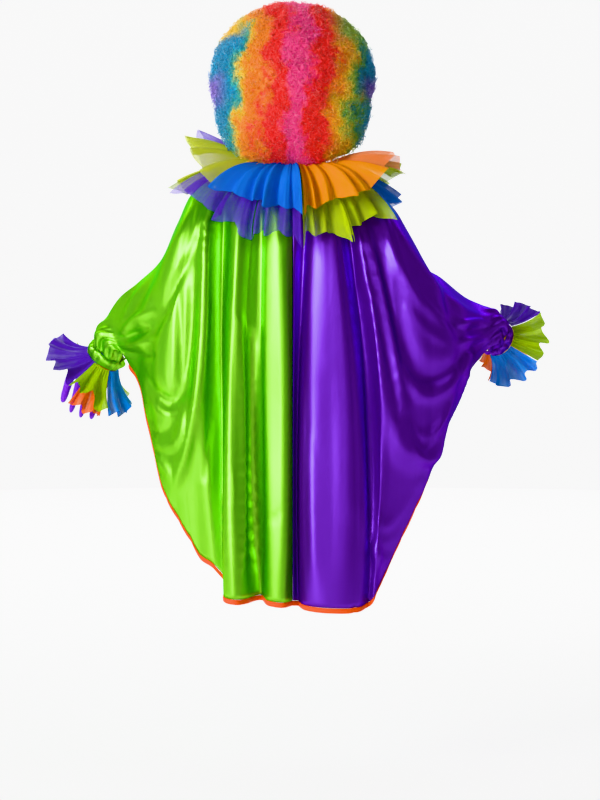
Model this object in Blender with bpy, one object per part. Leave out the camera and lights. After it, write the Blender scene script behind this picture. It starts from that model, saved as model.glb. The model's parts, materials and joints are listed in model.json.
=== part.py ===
"""Clown costume: a satin poncho in two colours, a layered net ruff, net cuffs, gloves and a curly wig.

Frame: metres, +Z up, the wearer faces +Y and +X is the wearer's right. The origin is the middle of
the neck opening, where the wearer's shoulders carry the poncho. The arms are held out and down.

Each poncho panel is lofted through fold lines. A fold line hangs from the top edge (the neck, then
the seam over the shoulder and arm) down to the hem, and ridges and valleys alternate. Near the wrist
the lines turn into half rings round the sleeve. Every cloth piece is a closed wall round its surface.

Run it with: blender --background --python part.py
"""

import math
from typing import NamedTuple

import bmesh
import bpy
import numpy as np
from mathutils import Matrix, Vector

SEAM_GAP = 0.0003
SATIN_WALL = 0.0016
NET_WALL = 0.0010
GLOVE_WALL = 0.0012

NECK_RADIUS = 0.078
NECK_TILT = 0.064  # how much the neck opening's plane rises towards the back, for each metre
NECK_SHARE = 0.16  # the share of a panel's top edge that runs round the neck
SHOULDER_ROLL = 0.106  # how far below the neck the cloth takes to turn from sloping to hanging
ARM_ROLL = 0.070  # the same, below the seam over the arm

COLUMNS_PER_FOLD = 2
BACK_ROWS = 14
FRONT_ROWS = 11
ROW_CROWDING = 1.18  # above 1, rows lie closer together near the top

BINDING_WIDTH = 0.012
BINDING_PROUD = 0.0007
BINDING_GAP = 0.0006  # measured square to the hem

CUFF_RADIUS = 0.044
GATHER_COUNT = 3  # gathers in each half of a sleeve end
GATHER_HEIGHT = 0.006


class Colour(NamedTuple):
    """A cloth's colour and finish."""

    name: str
    rgb: tuple
    roughness: float


LIME_SATIN = Colour("lime_satin", (0.30, 0.66, 0.02), 0.32)
PURPLE_SATIN = Colour("purple_satin", (0.16, 0.03, 0.52), 0.34)
ORANGE_TAPE = Colour("orange_tape", (0.95, 0.16, 0.01), 0.55)
PURPLE_NET = Colour("purple_net", (0.16, 0.05, 0.50), 0.75)
BLUE_NET = Colour("blue_net", (0.01, 0.16, 0.68), 0.75)
ORANGE_NET = Colour("orange_net", (0.98, 0.33, 0.01), 0.75)
LIME_NET = Colour("lime_net", (0.42, 0.55, 0.02), 0.75)
YELLOW_NET = Colour("yellow_net", (0.66, 0.62, 0.08), 0.75)
PEACH_NET = Colour("peach_net", (0.95, 0.42, 0.22), 0.75)
PURPLE_KNIT = Colour("purple_knit", (0.20, 0.02, 0.52), 0.80)
YELLOW_KNIT = Colour("yellow_knit", (0.98, 0.52, 0.01), 0.80)
WIG_HAIR = Colour("wig_hair", (0.90, 0.10, 0.10), 0.90)
WIG_NET = Colour("wig_net", (0.05, 0.05, 0.05), 0.80)


class SeamPoint(NamedTuple):
    """A point on the seam over the shoulder and arm."""

    name: str
    x: float
    y: float
    z: float


class FoldLine(NamedTuple):
    """One ridge or valley of a panel, from the top edge to the hem.

    along is its place on the top edge, from 0 at the neck's centre to 1 at the wrist.
    """

    name: str
    along: float
    mid_x: float
    mid_y: float
    hem_x: float
    hem_y: float
    hem_z: float


class SleeveRing(NamedTuple):
    """A half ring near the wrist: up is its distance from the cuff, ends is where it stops, in degrees."""

    name: str
    up: float
    radius: float
    ends: float


class Swag(NamedTuple):
    """A soft fold laid over a panel along a curve in X and Z, from start by way of low to end.

    A height below 0 sinks it into a hollow.
    """

    name: str
    start: tuple
    low: tuple
    end: tuple
    half_width: float
    height: float


class Sleeve(NamedTuple):
    """The sleeve's end: the middle of the cuff and the way the forearm points."""

    centre: Vector
    axis: Vector


class Petal(NamedTuple):
    """One gathered panel of net, cut square, so that its corners hang lower than its middle.

    first and last are the folds it runs between, counted round its ring.
    """

    name: str
    colour: Colour
    first: int
    last: int


class NetSlope(NamedTuple):
    """How a layer of net stands out at one place round its ring, between the rows of a table.

    angle is measured round the ring, start and end are the slopes where the net leaves the band and
    at its edge. All three are in degrees.
    """

    angle: float
    length: float
    start: float
    end: float


class NetLayer(NamedTuple):
    """One layer of gathered net: its petals, its slopes, and the ring and the folds they share.

    corner and scallop are how much further the net hangs at a petal's corners, and unevenly from
    fold to fold. uneven is how far a fold strays from its even place, in folds.
    """

    petals: tuple
    slopes: tuple
    radius: float
    lift: float
    folds: int
    fold_height: float
    corner: float
    scallop: float
    uneven: float
    rows: int


LEFT_SEAM = (
    SeamPoint("side_neck", -0.078, 0.000, 0.000),
    SeamPoint("mid_shoulder", -0.138, 0.000, -0.012),
    SeamPoint("shoulder_tip", -0.230, 0.000, -0.042),
    SeamPoint("upper_arm", -0.277, 0.005, -0.127),
    SeamPoint("over_elbow", -0.317, 0.024, -0.212),
    SeamPoint("forearm", -0.374, 0.050, -0.265),
    SeamPoint("low_forearm", -0.423, 0.072, -0.304),
)
RIGHT_SEAM = (
    SeamPoint("side_neck", 0.078, 0.000, 0.000),
    SeamPoint("mid_shoulder", 0.124, 0.000, -0.020),
    SeamPoint("shoulder_tip", 0.225, 0.000, -0.074),
    SeamPoint("upper_arm", 0.270, 0.005, -0.136),
    SeamPoint("over_elbow", 0.305, 0.020, -0.219),
    SeamPoint("forearm", 0.357, 0.040, -0.254),
    SeamPoint("low_forearm", 0.418, 0.080, -0.300),
)

LEFT_SLEEVE = Sleeve(Vector((-0.451, 0.120, -0.430)), Vector((-0.56, 0.35, -0.75)).normalized())
RIGHT_SLEEVE = Sleeve(Vector((0.489, 0.130, -0.392)), Vector((0.62, 0.70, -0.34)).normalized())
SLEEVE_RINGS = (
    SleeveRing("puff", 0.036, 0.056, 162.0),
    SleeveRing("wrist", 0.0, CUFF_RADIUS, 176.0),
)

# name, along, mid_x, mid_y, hem_x, hem_y, hem_z
BACK_LEFT_FOLDS = (
    FoldLine("centre_seam", 0.000, 0.000, -0.140, 0.000, -0.162, -1.020),
    FoldLine("back_ridge", 0.045, -0.024, -0.170, -0.024, -0.200, -1.020),
    FoldLine("broad_left", 0.080, -0.062, -0.160, -0.058, -0.188, -1.016),
    FoldLine("back_valley", 0.110, -0.079, -0.142, -0.074, -0.138, -1.010),
    FoldLine("tube_right", 0.160, -0.112, -0.154, -0.102, -0.186, -1.011),
    FoldLine("tube_crest", 0.205, -0.138, -0.176, -0.132, -0.216, -1.011),
    FoldLine("tube_left", 0.240, -0.155, -0.160, -0.160, -0.194, -1.005),
    FoldLine("tube_return", 0.270, -0.166, -0.116, -0.154, -0.148, -0.975),
    FoldLine("side_ridge", 0.300, -0.203, -0.156, -0.185, -0.146, -0.935),
    FoldLine("side_slack", 0.340, -0.236, -0.150, -0.216, -0.128, -0.916),
    FoldLine("side_roll", 0.375, -0.262, -0.144, -0.238, -0.122, -0.875),
    FoldLine("arm_slack", 0.430, -0.286, -0.134, -0.267, -0.112, -0.828),
    FoldLine("arm_roll", 0.500, -0.308, -0.120, -0.297, -0.100, -0.776),
    FoldLine("low_slack", 0.596, -0.328, -0.094, -0.320, -0.078, -0.708),
    FoldLine("low_roll", 0.690, -0.352, -0.060, -0.347, -0.040, -0.601),
    FoldLine("sleeve_side", 0.780, -0.386, -0.006, -0.372, 0.030, -0.510),
    FoldLine("sleeve_end", 0.868, -0.425, 0.030, -0.392, 0.056, -0.472),
)
FRONT_LEFT_FOLDS = (
    FoldLine("centre_seam", 0.000, 0.000, 0.145, 0.000, 0.172, -0.988),
    FoldLine("chest_ridge", 0.055, -0.040, 0.172, -0.045, 0.214, -0.992),
    FoldLine("chest_valley", 0.110, -0.086, 0.144, -0.088, 0.162, -0.984),
    FoldLine("side_rise", 0.160, -0.112, 0.158, -0.120, 0.198, -0.986),
    FoldLine("side_crest", 0.205, -0.136, 0.172, -0.147, 0.212, -0.980),
    FoldLine("side_fall", 0.240, -0.156, 0.154, -0.170, 0.178, -0.966),
    FoldLine("side_valley", 0.270, -0.172, 0.132, -0.186, 0.150, -0.952),
    FoldLine("hip_ridge", 0.300, -0.202, 0.158, -0.208, 0.174, -0.936),
    FoldLine("hip_slack", 0.340, -0.232, 0.154, -0.236, 0.162, -0.906),
    FoldLine("hip_roll", 0.375, -0.258, 0.150, -0.260, 0.152, -0.868),
    FoldLine("arm_slack", 0.430, -0.284, 0.144, -0.284, 0.142, -0.818),
    FoldLine("arm_roll", 0.500, -0.308, 0.142, -0.310, 0.136, -0.760),
    FoldLine("low_slack", 0.596, -0.330, 0.138, -0.332, 0.130, -0.690),
    FoldLine("low_roll", 0.690, -0.356, 0.142, -0.360, 0.128, -0.604),
    FoldLine("sleeve_side", 0.780, -0.366, 0.150, -0.380, 0.124, -0.508),
    FoldLine("sleeve_end", 0.868, -0.380, 0.156, -0.402, 0.112, -0.470),
)
BACK_RIGHT_FOLDS = (
    FoldLine("centre_seam", 0.000, 0.000, -0.140, 0.000, -0.162, -1.020),
    FoldLine("seam_shadow", 0.055, 0.013, -0.122, 0.014, -0.146, -1.023),
    FoldLine("broad_left", 0.090, 0.029, -0.156, 0.030, -0.184, -1.028),
    FoldLine("broad_middle", 0.125, 0.084, -0.170, 0.080, -0.204, -1.032),
    FoldLine("broad_right", 0.160, 0.138, -0.164, 0.142, -0.190, -1.032),
    FoldLine("deep_valley", 0.205, 0.170, -0.122, 0.174, -0.152, -1.026),
    FoldLine("long_ridge", 0.240, 0.196, -0.150, 0.188, -0.160, -1.012),
    FoldLine("long_slack", 0.270, 0.224, -0.142, 0.197, -0.144, -0.992),
    FoldLine("side_ridge", 0.300, 0.252, -0.140, 0.212, -0.130, -0.962),
    FoldLine("side_slack", 0.340, 0.278, -0.134, 0.234, -0.122, -0.914),
    FoldLine("side_roll", 0.375, 0.302, -0.128, 0.256, -0.116, -0.866),
    FoldLine("arm_slack", 0.430, 0.326, -0.118, 0.288, -0.106, -0.800),
    FoldLine("arm_roll", 0.500, 0.360, -0.106, 0.310, -0.088, -0.752),
    FoldLine("low_slack", 0.596, 0.386, -0.086, 0.332, -0.052, -0.690),
    FoldLine("low_roll", 0.690, 0.414, -0.058, 0.362, -0.008, -0.612),
    FoldLine("sleeve_side", 0.780, 0.440, -0.010, 0.402, 0.036, -0.520),
    FoldLine("sleeve_end", 0.868, 0.476, 0.032, 0.434, 0.060, -0.468),
)
FRONT_RIGHT_FOLDS = (
    FoldLine("centre_seam", 0.000, 0.000, 0.145, 0.000, 0.172, -0.988),
    FoldLine("chest_ridge", 0.055, 0.042, 0.170, 0.048, 0.210, -0.993),
    FoldLine("chest_valley", 0.110, 0.084, 0.146, 0.092, 0.164, -0.986),
    FoldLine("side_rise", 0.160, 0.116, 0.162, 0.128, 0.204, -0.988),
    FoldLine("side_crest", 0.205, 0.146, 0.170, 0.158, 0.204, -0.980),
    FoldLine("side_fall", 0.240, 0.168, 0.150, 0.180, 0.172, -0.966),
    FoldLine("side_valley", 0.270, 0.190, 0.134, 0.200, 0.150, -0.946),
    FoldLine("hip_ridge", 0.300, 0.220, 0.158, 0.222, 0.172, -0.922),
    FoldLine("hip_slack", 0.340, 0.250, 0.160, 0.250, 0.160, -0.884),
    FoldLine("hip_roll", 0.375, 0.278, 0.159, 0.276, 0.150, -0.838),
    FoldLine("arm_slack", 0.430, 0.306, 0.154, 0.304, 0.142, -0.786),
    FoldLine("arm_roll", 0.500, 0.334, 0.152, 0.332, 0.136, -0.724),
    FoldLine("low_slack", 0.596, 0.356, 0.150, 0.350, 0.130, -0.654),
    FoldLine("low_roll", 0.690, 0.380, 0.153, 0.376, 0.130, -0.580),
    FoldLine("sleeve_side", 0.780, 0.402, 0.158, 0.400, 0.126, -0.506),
    FoldLine("sleeve_end", 0.868, 0.416, 0.150, 0.424, 0.114, -0.460),
)

BACK_LEFT_SWAGS = (
    Swag("shoulder_pull", (-0.250, -0.080), (-0.280, -0.288), (-0.408, -0.378), 0.024, 0.016),
    Swag("side_sweep", (-0.200, -0.100), (-0.205, -0.640), (-0.292, -0.730), 0.026, 0.014),
    Swag("arm_hollow", (-0.358, -0.468), (-0.235, -0.720), (-0.226, -0.240), 0.026, -0.016),
)
BACK_RIGHT_SWAGS = (
    Swag("shoulder_pull", (0.225, -0.100), (0.270, -0.370), (0.462, -0.362), 0.024, 0.018),
    Swag("long_swag", (0.172, -0.080), (0.215, -1.050), (0.440, -0.440), 0.026, 0.018),
    Swag("arm_hollow", (0.215, -0.200), (0.265, -0.620), (0.430, -0.410), 0.024, -0.012),
    Swag("hip_swag", (0.165, -0.800), (0.225, -0.930), (0.305, -0.750), 0.026, 0.010),
)
FRONT_LEFT_SWAGS = (
    Swag("shoulder_pull", (-0.245, -0.090), (-0.290, -0.300), (-0.405, -0.385), 0.024, 0.014),
    Swag("side_sweep", (-0.205, -0.120), (-0.215, -0.620), (-0.310, -0.760), 0.028, 0.014),
    Swag("arm_hollow", (-0.390, -0.450), (-0.250, -0.700), (-0.235, -0.260), 0.028, -0.012),
)
FRONT_RIGHT_SWAGS = (
    Swag("shoulder_pull", (0.240, -0.120), (0.290, -0.338), (0.440, -0.360), 0.024, 0.017),
    Swag("long_swag", (0.185, -0.100), (0.225, -0.980), (0.430, -0.450), 0.028, 0.014),
    Swag("arm_hollow", (0.225, -0.220), (0.275, -0.600), (0.425, -0.420), 0.026, -0.011),
)

# angle, length, start, end; 0 degrees is the wearer's back, 90 their right
RUFF_TOP_SLOPES = (
    NetSlope(-180, 0.140, -4, -76),
    NetSlope(-128, 0.150, 10, -48),
    NetSlope(-102, 0.160, 36, 12),
    NetSlope(-74, 0.172, 28, -8),
    NetSlope(-46, 0.164, 0, -58),
    NetSlope(-14, 0.164, -15, -84),
    NetSlope(18, 0.164, -15, -84),
    NetSlope(46, 0.162, -3, -60),
    NetSlope(70, 0.160, 18, -10),
    NetSlope(98, 0.170, 8, -30),
    NetSlope(135, 0.150, 2, -56),
    NetSlope(180, 0.140, -4, -76),
)
RUFF_LOW_SLOPES = (
    NetSlope(-180, 0.165, -16, -80),
    NetSlope(-122, 0.172, 4, -50),
    NetSlope(-92, 0.190, 14, -36),
    NetSlope(-66, 0.196, 2, -52),
    NetSlope(-36, 0.204, -30, -84),
    NetSlope(0, 0.206, -37, -87),
    NetSlope(30, 0.204, -35, -86),
    NetSlope(60, 0.194, -16, -70),
    NetSlope(86, 0.188, -2, -48),
    NetSlope(120, 0.172, -6, -62),
    NetSlope(180, 0.165, -16, -80),
)
RUFF_TOP = NetLayer(
    petals=(
        Petal("ruff_top_blue_back", BLUE_NET, -10, 1),
        Petal("ruff_top_orange_back", ORANGE_NET, 1, 11),
        Petal("ruff_top_peach_right", PEACH_NET, 11, 16),
        Petal("ruff_top_lime_right", LIME_NET, 16, 24),
        Petal("ruff_top_blue_front", BLUE_NET, 24, 33),
        Petal("ruff_top_purple_front", PURPLE_NET, 33, 42),
        Petal("ruff_top_orange_front", ORANGE_NET, 42, 48),
        Petal("ruff_top_purple_left", PURPLE_NET, 48, 53),
        Petal("ruff_top_yellow_left", YELLOW_NET, 53, 60),
    ),
    slopes=RUFF_TOP_SLOPES,
    radius=NECK_RADIUS + 0.0008,
    lift=0.0080,
    folds=35,
    fold_height=0.0085,
    corner=0.12,
    scallop=0.05,
    uneven=0.20,
    rows=3,
)
RUFF_LOW = NetLayer(
    petals=(
        Petal("ruff_low_purple_left", PURPLE_NET, -15, -6),
        Petal("ruff_low_purple_back", PURPLE_NET, -6, 1),
        Petal("ruff_low_lime_back", LIME_NET, 1, 7),
        Petal("ruff_low_lime_right", LIME_NET, 7, 13),
        Petal("ruff_low_blue_right", BLUE_NET, 13, 22),
        Petal("ruff_low_orange_front", ORANGE_NET, 22, 33),
        Petal("ruff_low_lime_front", LIME_NET, 33, 45),
        Petal("ruff_low_yellow_left", YELLOW_NET, 45, 55),
    ),
    slopes=RUFF_LOW_SLOPES,
    radius=NECK_RADIUS + 0.0008,
    lift=0.0030,
    folds=35,
    fold_height=0.0085,
    corner=0.12,
    scallop=0.05,
    uneven=0.20,
    rows=3,
)

# angle, length, start, end; 0 degrees is the top of the wrist
LEFT_CUFF_SLOPES = (
    NetSlope(0, 0.098, 44, 2),
    NetSlope(45, 0.100, 60, 24),
    NetSlope(90, 0.106, 66, 34),
    NetSlope(160, 0.108, 56, 20),
    NetSlope(200, 0.098, 54, 18),
    NetSlope(240, 0.080, 50, 10),
    NetSlope(262, 0.078, 48, 12),
    NetSlope(284, 0.088, 46, 10),
    NetSlope(320, 0.098, 46, 6),
    NetSlope(360, 0.098, 44, 2),
)
LEFT_CUFF_LOW_SLOPES = (
    NetSlope(160, 0.116, 78, 58),
    NetSlope(260, 0.112, 78, 58),
)
RIGHT_CUFF_SLOPES = (
    NetSlope(0, 0.082, 56, 6),
    NetSlope(90, 0.074, 60, 14),
    NetSlope(180, 0.079, 58, 10),
    NetSlope(225, 0.068, 66, 34),
    NetSlope(270, 0.078, 64, 24),
    NetSlope(360, 0.082, 56, 6),
)
LEFT_CUFF_NET = NetLayer(
    petals=(
        Petal("cuff_net_left_yellow", YELLOW_NET, 2, 11),
        Petal("cuff_net_left_blue", BLUE_NET, 11, 18),
        Petal("cuff_net_left_lime", LIME_NET, 18, 23),
        Petal("cuff_net_left_purple", PURPLE_NET, 23, 34),
    ),
    slopes=LEFT_CUFF_SLOPES,
    radius=0.0442,
    lift=0.0290,
    folds=16,
    fold_height=0.0080,
    corner=0.14,
    scallop=0.04,
    uneven=0.16,
    rows=2,
)
LEFT_CUFF_LOW_NET = NetLayer(
    petals=(Petal("cuff_net_left_orange", ORANGE_NET, 15, 22),),
    slopes=LEFT_CUFF_LOW_SLOPES,
    radius=0.0412,
    lift=0.0290,
    folds=16,
    fold_height=0.0050,
    corner=0.06,
    scallop=0.04,
    uneven=0.16,
    rows=2,
)
RIGHT_CUFF_NET = NetLayer(
    petals=(
        Petal("cuff_net_right_purple", PURPLE_NET, -3, 4),
        Petal("cuff_net_right_lime", LIME_NET, 4, 10),
        Petal("cuff_net_right_blue", BLUE_NET, 10, 18),
        Petal("cuff_net_right_orange", ORANGE_NET, 18, 22),
        Petal("cuff_net_right_yellow", YELLOW_NET, 22, 29),
    ),
    slopes=RIGHT_CUFF_SLOPES,
    radius=0.0442,
    lift=0.0290,
    folds=16,
    fold_height=0.0075,
    corner=0.10,
    scallop=0.04,
    uneven=0.16,
    rows=2,
)

CUFF_BAND_START = 0.0022
CUFF_BAND_WIDTH = 0.028
CUFF_BAND_FOLDS = 10
NECK_BAND_TOP = 0.020
NECK_BAND_BOTTOM = 0.002

HEAD_CENTRE = Vector((0.0, 0.018, 0.204))
HEAD_RADII = Vector((0.080, 0.098, 0.116))
WIG_RADIUS = 0.202
WIG_NAPE = 0.014  # how much further the hair reaches down over the nape
WIG_JOWL = 0.085  # how much fuller the hair is beside the jaw
WIG_HOLE_SLOPE = -40.0  # the way the face opening points, in degrees above level
WIG_EDGE = 102.0  # how far round from the back of the crown the hair goes, in degrees
WIG_EDGE_CHEEK = 7.0  # how much further it goes at the cheeks
WIG_EDGE_ROUND = 0.62  # how much thinner the hair is round the forehead
WIG_LUMP = 0.022
WIG_TURNS = 24
WIG_RINGS = 8
CAP_WALL = 0.0020


def unit(vector):
    """The vectors of an array along its last axis, each of length 1."""
    return vector / np.maximum(np.linalg.norm(vector, axis=-1, keepdims=True), 1e-12)


def smooth_rows(rows, steps):
    """Points between the rows of an array, on a Catmull-Rom curve through them, steps to each gap."""
    padded = np.concatenate([2 * rows[:1] - rows[1:2], rows, 2 * rows[-1:] - rows[-2:-1]])
    made = []
    for i in range(len(rows) - 1):
        before, first, second, after = padded[i : i + 4]
        for step in range(steps):
            u = step / steps
            made.append(
                first
                + 0.5 * u * (second - before)
                + u * u * (before - 2.5 * first + 2 * second - 0.5 * after)
                + u**3 * (1.5 * (first - second) + 0.5 * (after - before))
            )
    made.append(rows[-1])
    return np.array(made)


class Side:
    """One half of the poncho: its seam over the shoulder and arm, and its sleeve's end."""

    def __init__(self, sign, seam, sleeve):
        self.sign = sign
        self.sleeve = sleeve
        self.ring_up = unit(np.array(Vector((0, 0, 1)) - sleeve.axis * sleeve.axis.z))
        self.ring_back = np.cross(np.array(sleeve.axis), self.ring_up)
        self.ring_back = self.ring_back * -np.sign(self.ring_back[1])
        points = [[p.x, p.y, p.z] for p in seam]
        points += [self.ring_point(ring, 0.0, 1.0) for ring in SLEEVE_RINGS]
        self.curve = smooth_rows(np.array(points), 12)
        lengths = np.linalg.norm(np.diff(self.curve, axis=0), axis=1)
        self.distance = np.concatenate([[0.0], np.cumsum(lengths)])
        self.ring_along = self.alongs_of_rings()

    def ring_centre(self, ring):
        """The middle of a sleeve ring."""
        return np.array(self.sleeve.centre - self.sleeve.axis * ring.up)

    def ring_point(self, ring, angle, facing):
        """A point of a sleeve ring, angle from its top, towards the back if facing is 1 and the front if -1."""
        outward = math.cos(angle) * self.ring_up + facing * math.sin(angle) * self.ring_back
        return self.ring_centre(ring) + ring.radius * outward

    def alongs_of_rings(self):
        """Where each ring's top lies on the top edge, from 0 to 1."""
        places = []
        for ring in SLEEVE_RINGS:
            top = self.ring_point(ring, 0.0, 1.0)
            nearest = np.linalg.norm(self.curve - top, axis=1).argmin()
            share = self.distance[nearest] / self.distance[-1]
            places.append(NECK_SHARE + (1 - NECK_SHARE) * share)
        return places

    def top_edge(self, along, facing):
        """A point of the top edge, and the level direction across the seam there, towards facing."""
        if along < NECK_SHARE:
            turn = along / NECK_SHARE * math.pi / 2
            back = facing * math.cos(turn)
            point = self.sign * math.sin(turn) * NECK_SIDE + back * NECK_BACK
            return NECK_RADIUS * point, np.zeros(3)
        place = (along - NECK_SHARE) / (1 - NECK_SHARE) * self.distance[-1]
        near = [np.interp(place + d, self.distance, self.curve[:, k]) for d in (-0.004, 0, 0.004) for k in range(3)]
        before, point, after = np.array(near).reshape(3, 3)
        across = unit(np.cross(after - before, [0, 0, 1]))
        across = across * -facing * np.sign(across[1])
        return point, across


NECK_SIDE = np.array([1.0, 0, 0])
NECK_UP = unit(np.array([0, NECK_TILT, 1.0]))
NECK_BACK = unit(np.array([0, -1.0, NECK_TILT]))
LEFT = Side(-1, LEFT_SEAM, LEFT_SLEEVE)
RIGHT = Side(1, RIGHT_SEAM, RIGHT_SLEEVE)


def hanging_line(fold, top, shares):
    """A fold line as offsets from its top point, at the given shares of its drop."""
    drop = top[2] - fold.hem_z
    x = top[0] * (1 - shares) * (1 - 2 * shares) + 4 * fold.mid_x * shares * (1 - shares)
    x = x + fold.hem_x * shares * (2 * shares - 1)
    low = np.clip(2 * shares - 1, 0, 1)
    settled_y = fold.mid_y + (fold.hem_y - fold.mid_y) * low * low * (3 - 2 * low)
    roll = SHOULDER_ROLL + (ARM_ROLL - SHOULDER_ROLL) * min(1, fold.along / 0.3)
    rolled = 1 - np.exp(-shares * drop / roll)
    y = top[1] + (settled_y - top[1]) * rolled
    return np.stack([x, y, top[2] - drop * shares], axis=1) - top


def ring_line(side, ring, facing, shares):
    """Half a sleeve ring as offsets from its top point, with the gathers of the elastic in it."""
    top = side.ring_point(ring, 0.0, facing)
    line = []
    for share in shares:
        angle = share * math.radians(ring.ends)
        point = side.ring_point(ring, angle, facing)
        wave = GATHER_HEIGHT * math.sin(2 * math.pi * GATHER_COUNT * share) * math.sin(math.pi * share)
        line.append(point + wave * unit(point - side.ring_centre(ring)) - top)
    return np.array(line)


def lay_swags(points, shares, swags, facing):
    """Lifts the surface along each swag's curve, away from the body, and not at the panel's edges."""
    inside = np.clip(np.minimum(shares, 1 - shares) / 0.12, 0, 1)
    for swag in swags:
        start, low, end = (np.array(p) for p in (swag.start, swag.low, swag.end))
        u = np.linspace(0, 1, 40)[:, None]
        curve = start * (1 - u) ** 2 + 2 * low * u * (1 - u) + end * u * u
        fade = np.sin(np.pi * np.clip(u[:, 0], 0.06, 0.94)) ** 0.5
        away = np.linalg.norm(points[:, :, None, [0, 2]] - curve, axis=-1)
        lift = (np.exp(-((away / swag.half_width) ** 2)) * fade).max(axis=-1)
        points[:, :, 1] -= facing * swag.height * lift * inside[None, :]
    return points


class Panel:
    """A quarter of the poncho as a grid: columns run from the centre seam to the wrist, rows downwards."""

    def __init__(self, side, facing, folds, swags, rows):
        shares = np.linspace(0, 1, rows + 1) ** ROW_CROWDING
        tops = [side.top_edge(fold.along, facing)[0] for fold in folds]
        lines = [hanging_line(fold, top, shares) for fold, top in zip(folds, tops)]
        lines += [ring_line(side, ring, facing, shares) for ring in SLEEVE_RINGS]
        alongs = [fold.along for fold in folds] + side.ring_along
        offsets = smooth_rows(np.array(lines), COLUMNS_PER_FOLD)
        places = np.interp(
            np.arange(len(offsets)) / COLUMNS_PER_FOLD, np.arange(len(alongs)), alongs
        )
        edge = [side.top_edge(place, facing) for place in places]
        top_points = np.array([point for point, across in edge])
        across = np.array([direction for point, direction in edge])
        self.points = top_points[:, None, :] + offsets + across[:, None, :] * SEAM_GAP / 2
        self.points[0, :, 0] = side.sign * SEAM_GAP / 2
        lay_swags(self.points, shares, swags, facing)
        self.bound_columns = len(self.points) - COLUMNS_PER_FOLD
        self.shorten_for_binding()
        self.normals = self.outward(side, facing, across)

    def outward(self, side, facing, across):
        """The direction out of the cloth at each point, square to the seams along the seamed edges."""
        along_columns = np.gradient(self.points, axis=0)
        down_rows = np.gradient(self.points, axis=1)
        normals = unit(np.cross(along_columns, down_rows)) * side.sign * facing * -1
        for _ in range(2):
            hem = normals[:, -1]
            normals[1:-1, -1] = unit(hem[:-2] + 2 * hem[1:-1] + hem[2:])
        normals[0, :, 0] = 0
        normals[:, 0] -= (normals[:, 0] * across).sum(-1, keepdims=True) * across
        return unit(normals)

    def shorten_for_binding(self):
        """Draws the hanging columns up by a tape's width, so that the binding carries on below them."""
        hem = self.points[: self.bound_columns, -1].copy()
        fall = unit(hem - self.points[: self.bound_columns, -2])
        slant = np.linalg.norm(np.cross(fall, unit(np.gradient(hem, axis=0))), axis=1)
        self.gap = (BINDING_GAP / np.maximum(slant, 0.25))[:, None]
        for column, gap in zip(self.points, self.gap[:, 0]):
            steps = np.linalg.norm(np.diff(column, axis=0), axis=1)
            reach = np.concatenate([[0.0], np.cumsum(steps)])
            places = reach * (1 - (BINDING_WIDTH + gap) / reach[-1])
            column[:] = np.stack([np.interp(places, reach, column[:, k]) for k in range(3)], axis=1)
        self.down = unit(hem - self.points[: self.bound_columns, -1])

    def hem(self):
        """Where the binding starts, which way it runs down and which way is out, for each bound column."""
        start = self.points[: self.bound_columns, -1] + self.down * self.gap
        return start, self.down, self.normals[: self.bound_columns, -1]


def add_object(name, verts, faces, colour, smooth=True):
    """A mesh object with its material, made of points and faces."""
    mesh = bpy.data.meshes.new(name)
    mesh.from_pydata([tuple(map(float, v)) for v in verts], [], faces)
    mesh.update()
    shaped = bmesh.new()
    shaped.from_mesh(mesh)
    bmesh.ops.recalc_face_normals(shaped, faces=shaped.faces)
    shaped.to_mesh(mesh)
    shaped.free()
    if smooth:
        mesh.shade_smooth()
        mesh.set_sharp_from_angle(angle=math.radians(50))
    mesh.materials.append(material_of(colour))
    made = bpy.data.objects.new(name, mesh)
    bpy.context.scene.collection.objects.link(made)
    return made


def material_of(colour):
    """The material of a colour, made once."""
    found = bpy.data.materials.get(colour.name)
    if found:
        return found
    material = bpy.data.materials.new(colour.name)
    material.use_nodes = True
    shader = material.node_tree.nodes["Principled BSDF"]
    shader.inputs["Base Color"].default_value = (*colour.rgb, 1)
    shader.inputs["Roughness"].default_value = colour.roughness
    shader.inputs["Metallic"].default_value = 0
    return material


def wall_between(name, outer, inner, colour, closed=False):
    """A closed solid between two grids of the same size, with a rim along every open edge.

    Each four-sided cell is split the same way on both faces, so that a twisted wall never crosses itself.
    """
    columns, rows = outer.shape[:2]
    half = columns * rows
    verts = np.concatenate([outer.reshape(-1, 3), inner.reshape(-1, 3)])
    faces = []
    last = columns if closed else columns - 1
    for c in range(last):
        here, following = c * rows, (c + 1) % columns * rows
        for r in range(rows - 1):
            a, b, d, e = here + r, following + r, following + r + 1, here + r + 1
            if np.linalg.norm(verts[a] - verts[d]) > np.linalg.norm(verts[b] - verts[e]):
                a, b, d, e = b, d, e, a
            faces += [(a, b, d), (a, d, e)]
            faces += [(half + d, half + b, half + a), (half + e, half + d, half + a)]
        for a, b in ((here, following), (following + rows - 1, here + rows - 1)):
            faces += rim_cell(a, b, half, a == here)
    if not closed:
        end = (columns - 1) * rows
        for r in range(rows - 1):
            faces += rim_cell(r + 1, r, half, False)
            faces += rim_cell(end + r, end + r + 1, half, True)
    return add_object(name, verts, faces, colour)


def rim_cell(a, b, half, from_first):
    """Two triangles across a wall's rim between the edge points a and b."""
    if from_first:
        return [(b, a, half + b), (a, half + a, half + b)]
    return [(b, a, half + a), (b, half + a, half + b)]


def panel_solid(name, panel, colour):
    """The satin wall of a panel."""
    return wall_between(name, panel.points, panel.points - panel.normals * SATIN_WALL, colour)


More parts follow.
